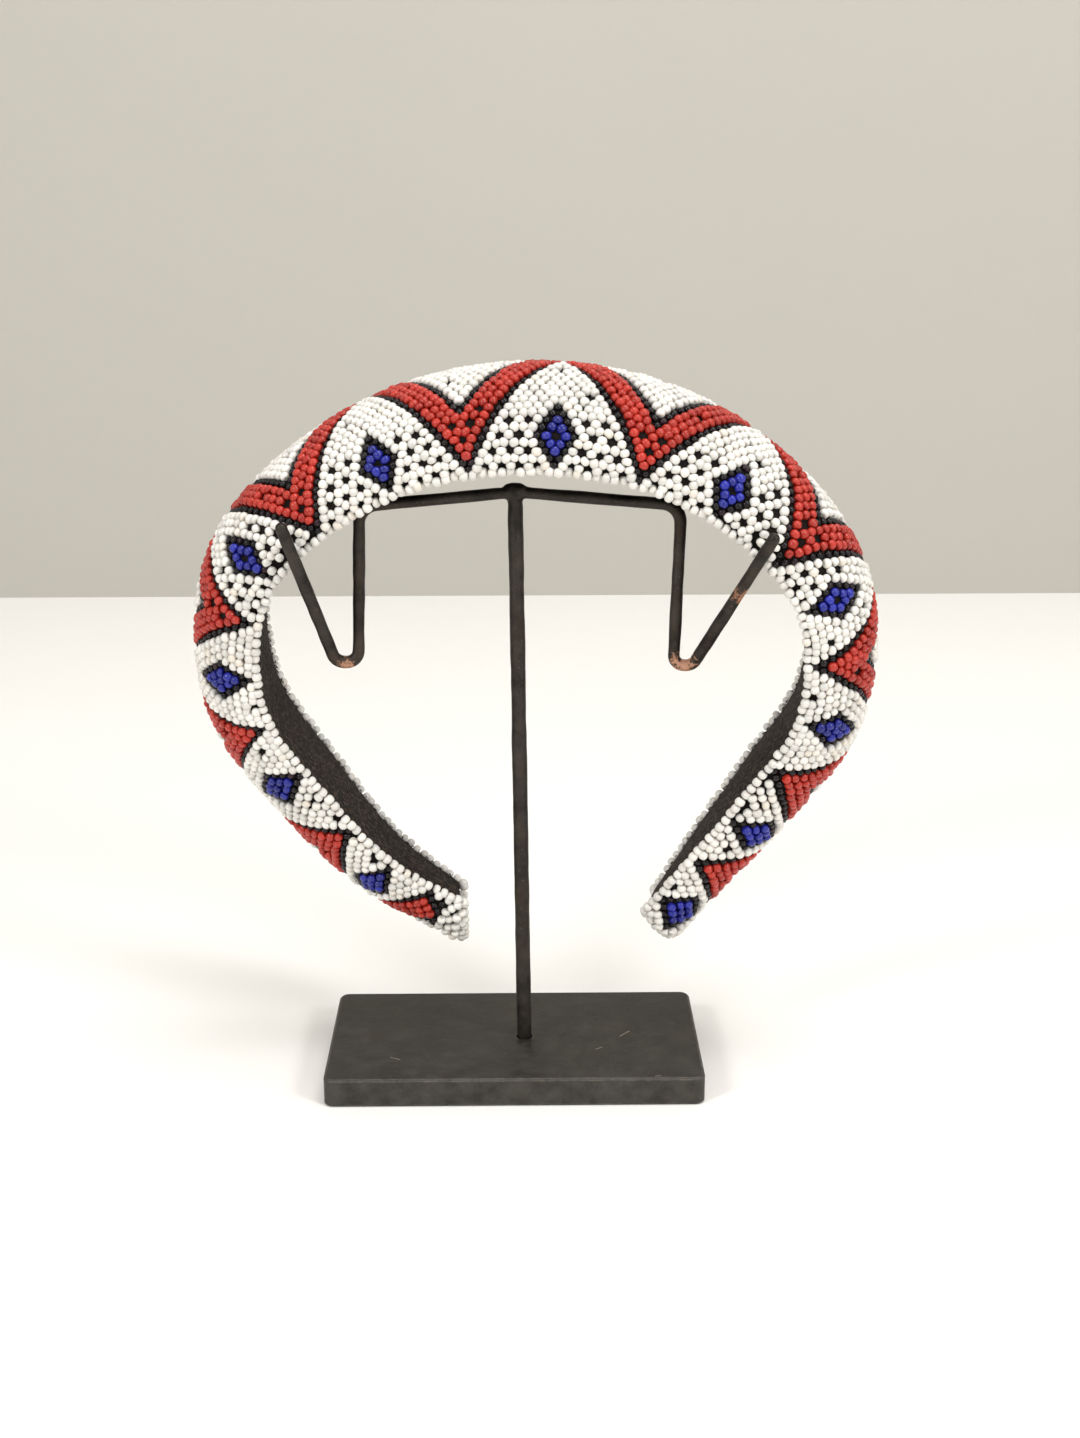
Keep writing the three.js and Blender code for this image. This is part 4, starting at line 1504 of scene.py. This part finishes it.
class HEADBAND_OT_stage(bpy.types.Operator):
    """Sets the table, the wall, the light and the camera"""

    bl_idname = "headband.stage"
    bl_label = "Studio"

    def execute(self, context):
        scene = context.scene
        look = scene.headband_studio
        self.camera(scene, look)
        self.boards(look)
        world = bpy.data.worlds.new("studio")
        world.use_nodes = True
        world.node_tree.nodes["Background"].inputs["Color"].default_value = (1.0, 0.985, 0.96, 1)
        world.node_tree.nodes["Background"].inputs["Strength"].default_value = look.sky
        scene.world = world
        for name, place, size, power in LIGHTS:
            self.light(scene, name, Vector(place), size, getattr(look, power))
        scene.view_settings.view_transform = "Standard"
        return {"FINISHED"}

    @staticmethod
    def camera(scene, look):
        lens = bpy.data.cameras.new("camera")
        lens.sensor_width = 36
        lens.sensor_fit = "AUTO"
        lens.lens = look.focal_length
        camera = bpy.data.objects.new("camera", lens)
        scene.collection.objects.link(camera)
        level = Matrix.Rotation(math.pi / 2 - look.look_down, 4, "X")
        turned_right = Matrix.Rotation(-look.look_right, 4, "Z")
        tipped = Matrix.Rotation(-look.roll, 4, "Z")
        camera.matrix_world = Matrix.Translation(look.camera_place) @ turned_right @ level @ tipped
        scene.camera = camera

    @staticmethod
    def boards(look):
        far = look.wall_distance
        floor = [(-3, -2, 0), (3, -2, 0), (3, far, 0), (-3, far, 0)]
        wall = [(-3, far, -0.5), (3, far, -0.5), (3, far, 3), (-3, far, 3)]
        for name, corners, colour, roughness in (
            ("floor", floor, look.table_colour, 0.5),
            ("backdrop", wall, look.wall_colour, 0.9),
        ):
            paint = painted_board(name + "_paint", colour, roughness, 6.0)
            new_piece(name, corners, [(0, 1, 2, 3)], paint, smooth=False)

    @staticmethod
    def light(scene, name, place, size, power):
        data = bpy.data.lights.new(name, "AREA")
        data.size = size
        data.energy = power
        lamp = bpy.data.objects.new(name, data)
        lamp.location = place
        lamp.rotation_euler = (place - Vector(LIGHT_AIM)).to_track_quat("Z", "Y").to_euler()
        scene.collection.objects.link(lamp)


STEPS = [
    HEADBAND_OT_core,
    HEADBAND_OT_lining,
    HEADBAND_OT_net,
    HEADBAND_OT_edges,
    HEADBAND_OT_ends,
    HEADBAND_OT_stitches,
    HEADBAND_OT_rods,
    HEADBAND_OT_base,
    HEADBAND_OT_stage,
]


class HEADBAND_PT_panel(bpy.types.Panel):
    """Lists the sizes, the studio's settings and the steps"""

    bl_label = "Headband"
    bl_idname = "HEADBAND_PT_panel"
    bl_space_type = "VIEW_3D"
    bl_region_type = "UI"
    bl_category = "Headband"

    def draw(self, context):
        column = self.layout.column()
        scene = context.scene
        for settings in (scene.headband_sizes, scene.headband_colours, scene.headband_studio):
            for key in settings.__annotations__:
                column.prop(settings, key)
        for step in STEPS:
            column.operator(step.bl_idname)


CLASSES = [HeadbandSizes, HeadbandColours, StudioLook, *STEPS, HEADBAND_PT_panel]


def register():
    for each in CLASSES:
        bpy.utils.register_class(each)
    bpy.types.Scene.headband_sizes = bpy.props.PointerProperty(type=HeadbandSizes)
    bpy.types.Scene.headband_colours = bpy.props.PointerProperty(type=HeadbandColours)
    bpy.types.Scene.headband_studio = bpy.props.PointerProperty(type=StudioLook)


def unregister():
    del bpy.types.Scene.headband_studio
    del bpy.types.Scene.headband_colours
    del bpy.types.Scene.headband_sizes
    for each in reversed(CLASSES):
        bpy.utils.unregister_class(each)


def main():
    """Registers the add-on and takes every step."""
    register()
    for step in STEPS:
        name = step.bl_idname.split(".")[1]
        getattr(bpy.ops.headband, name)()


if __name__ == "__main__":
    main()
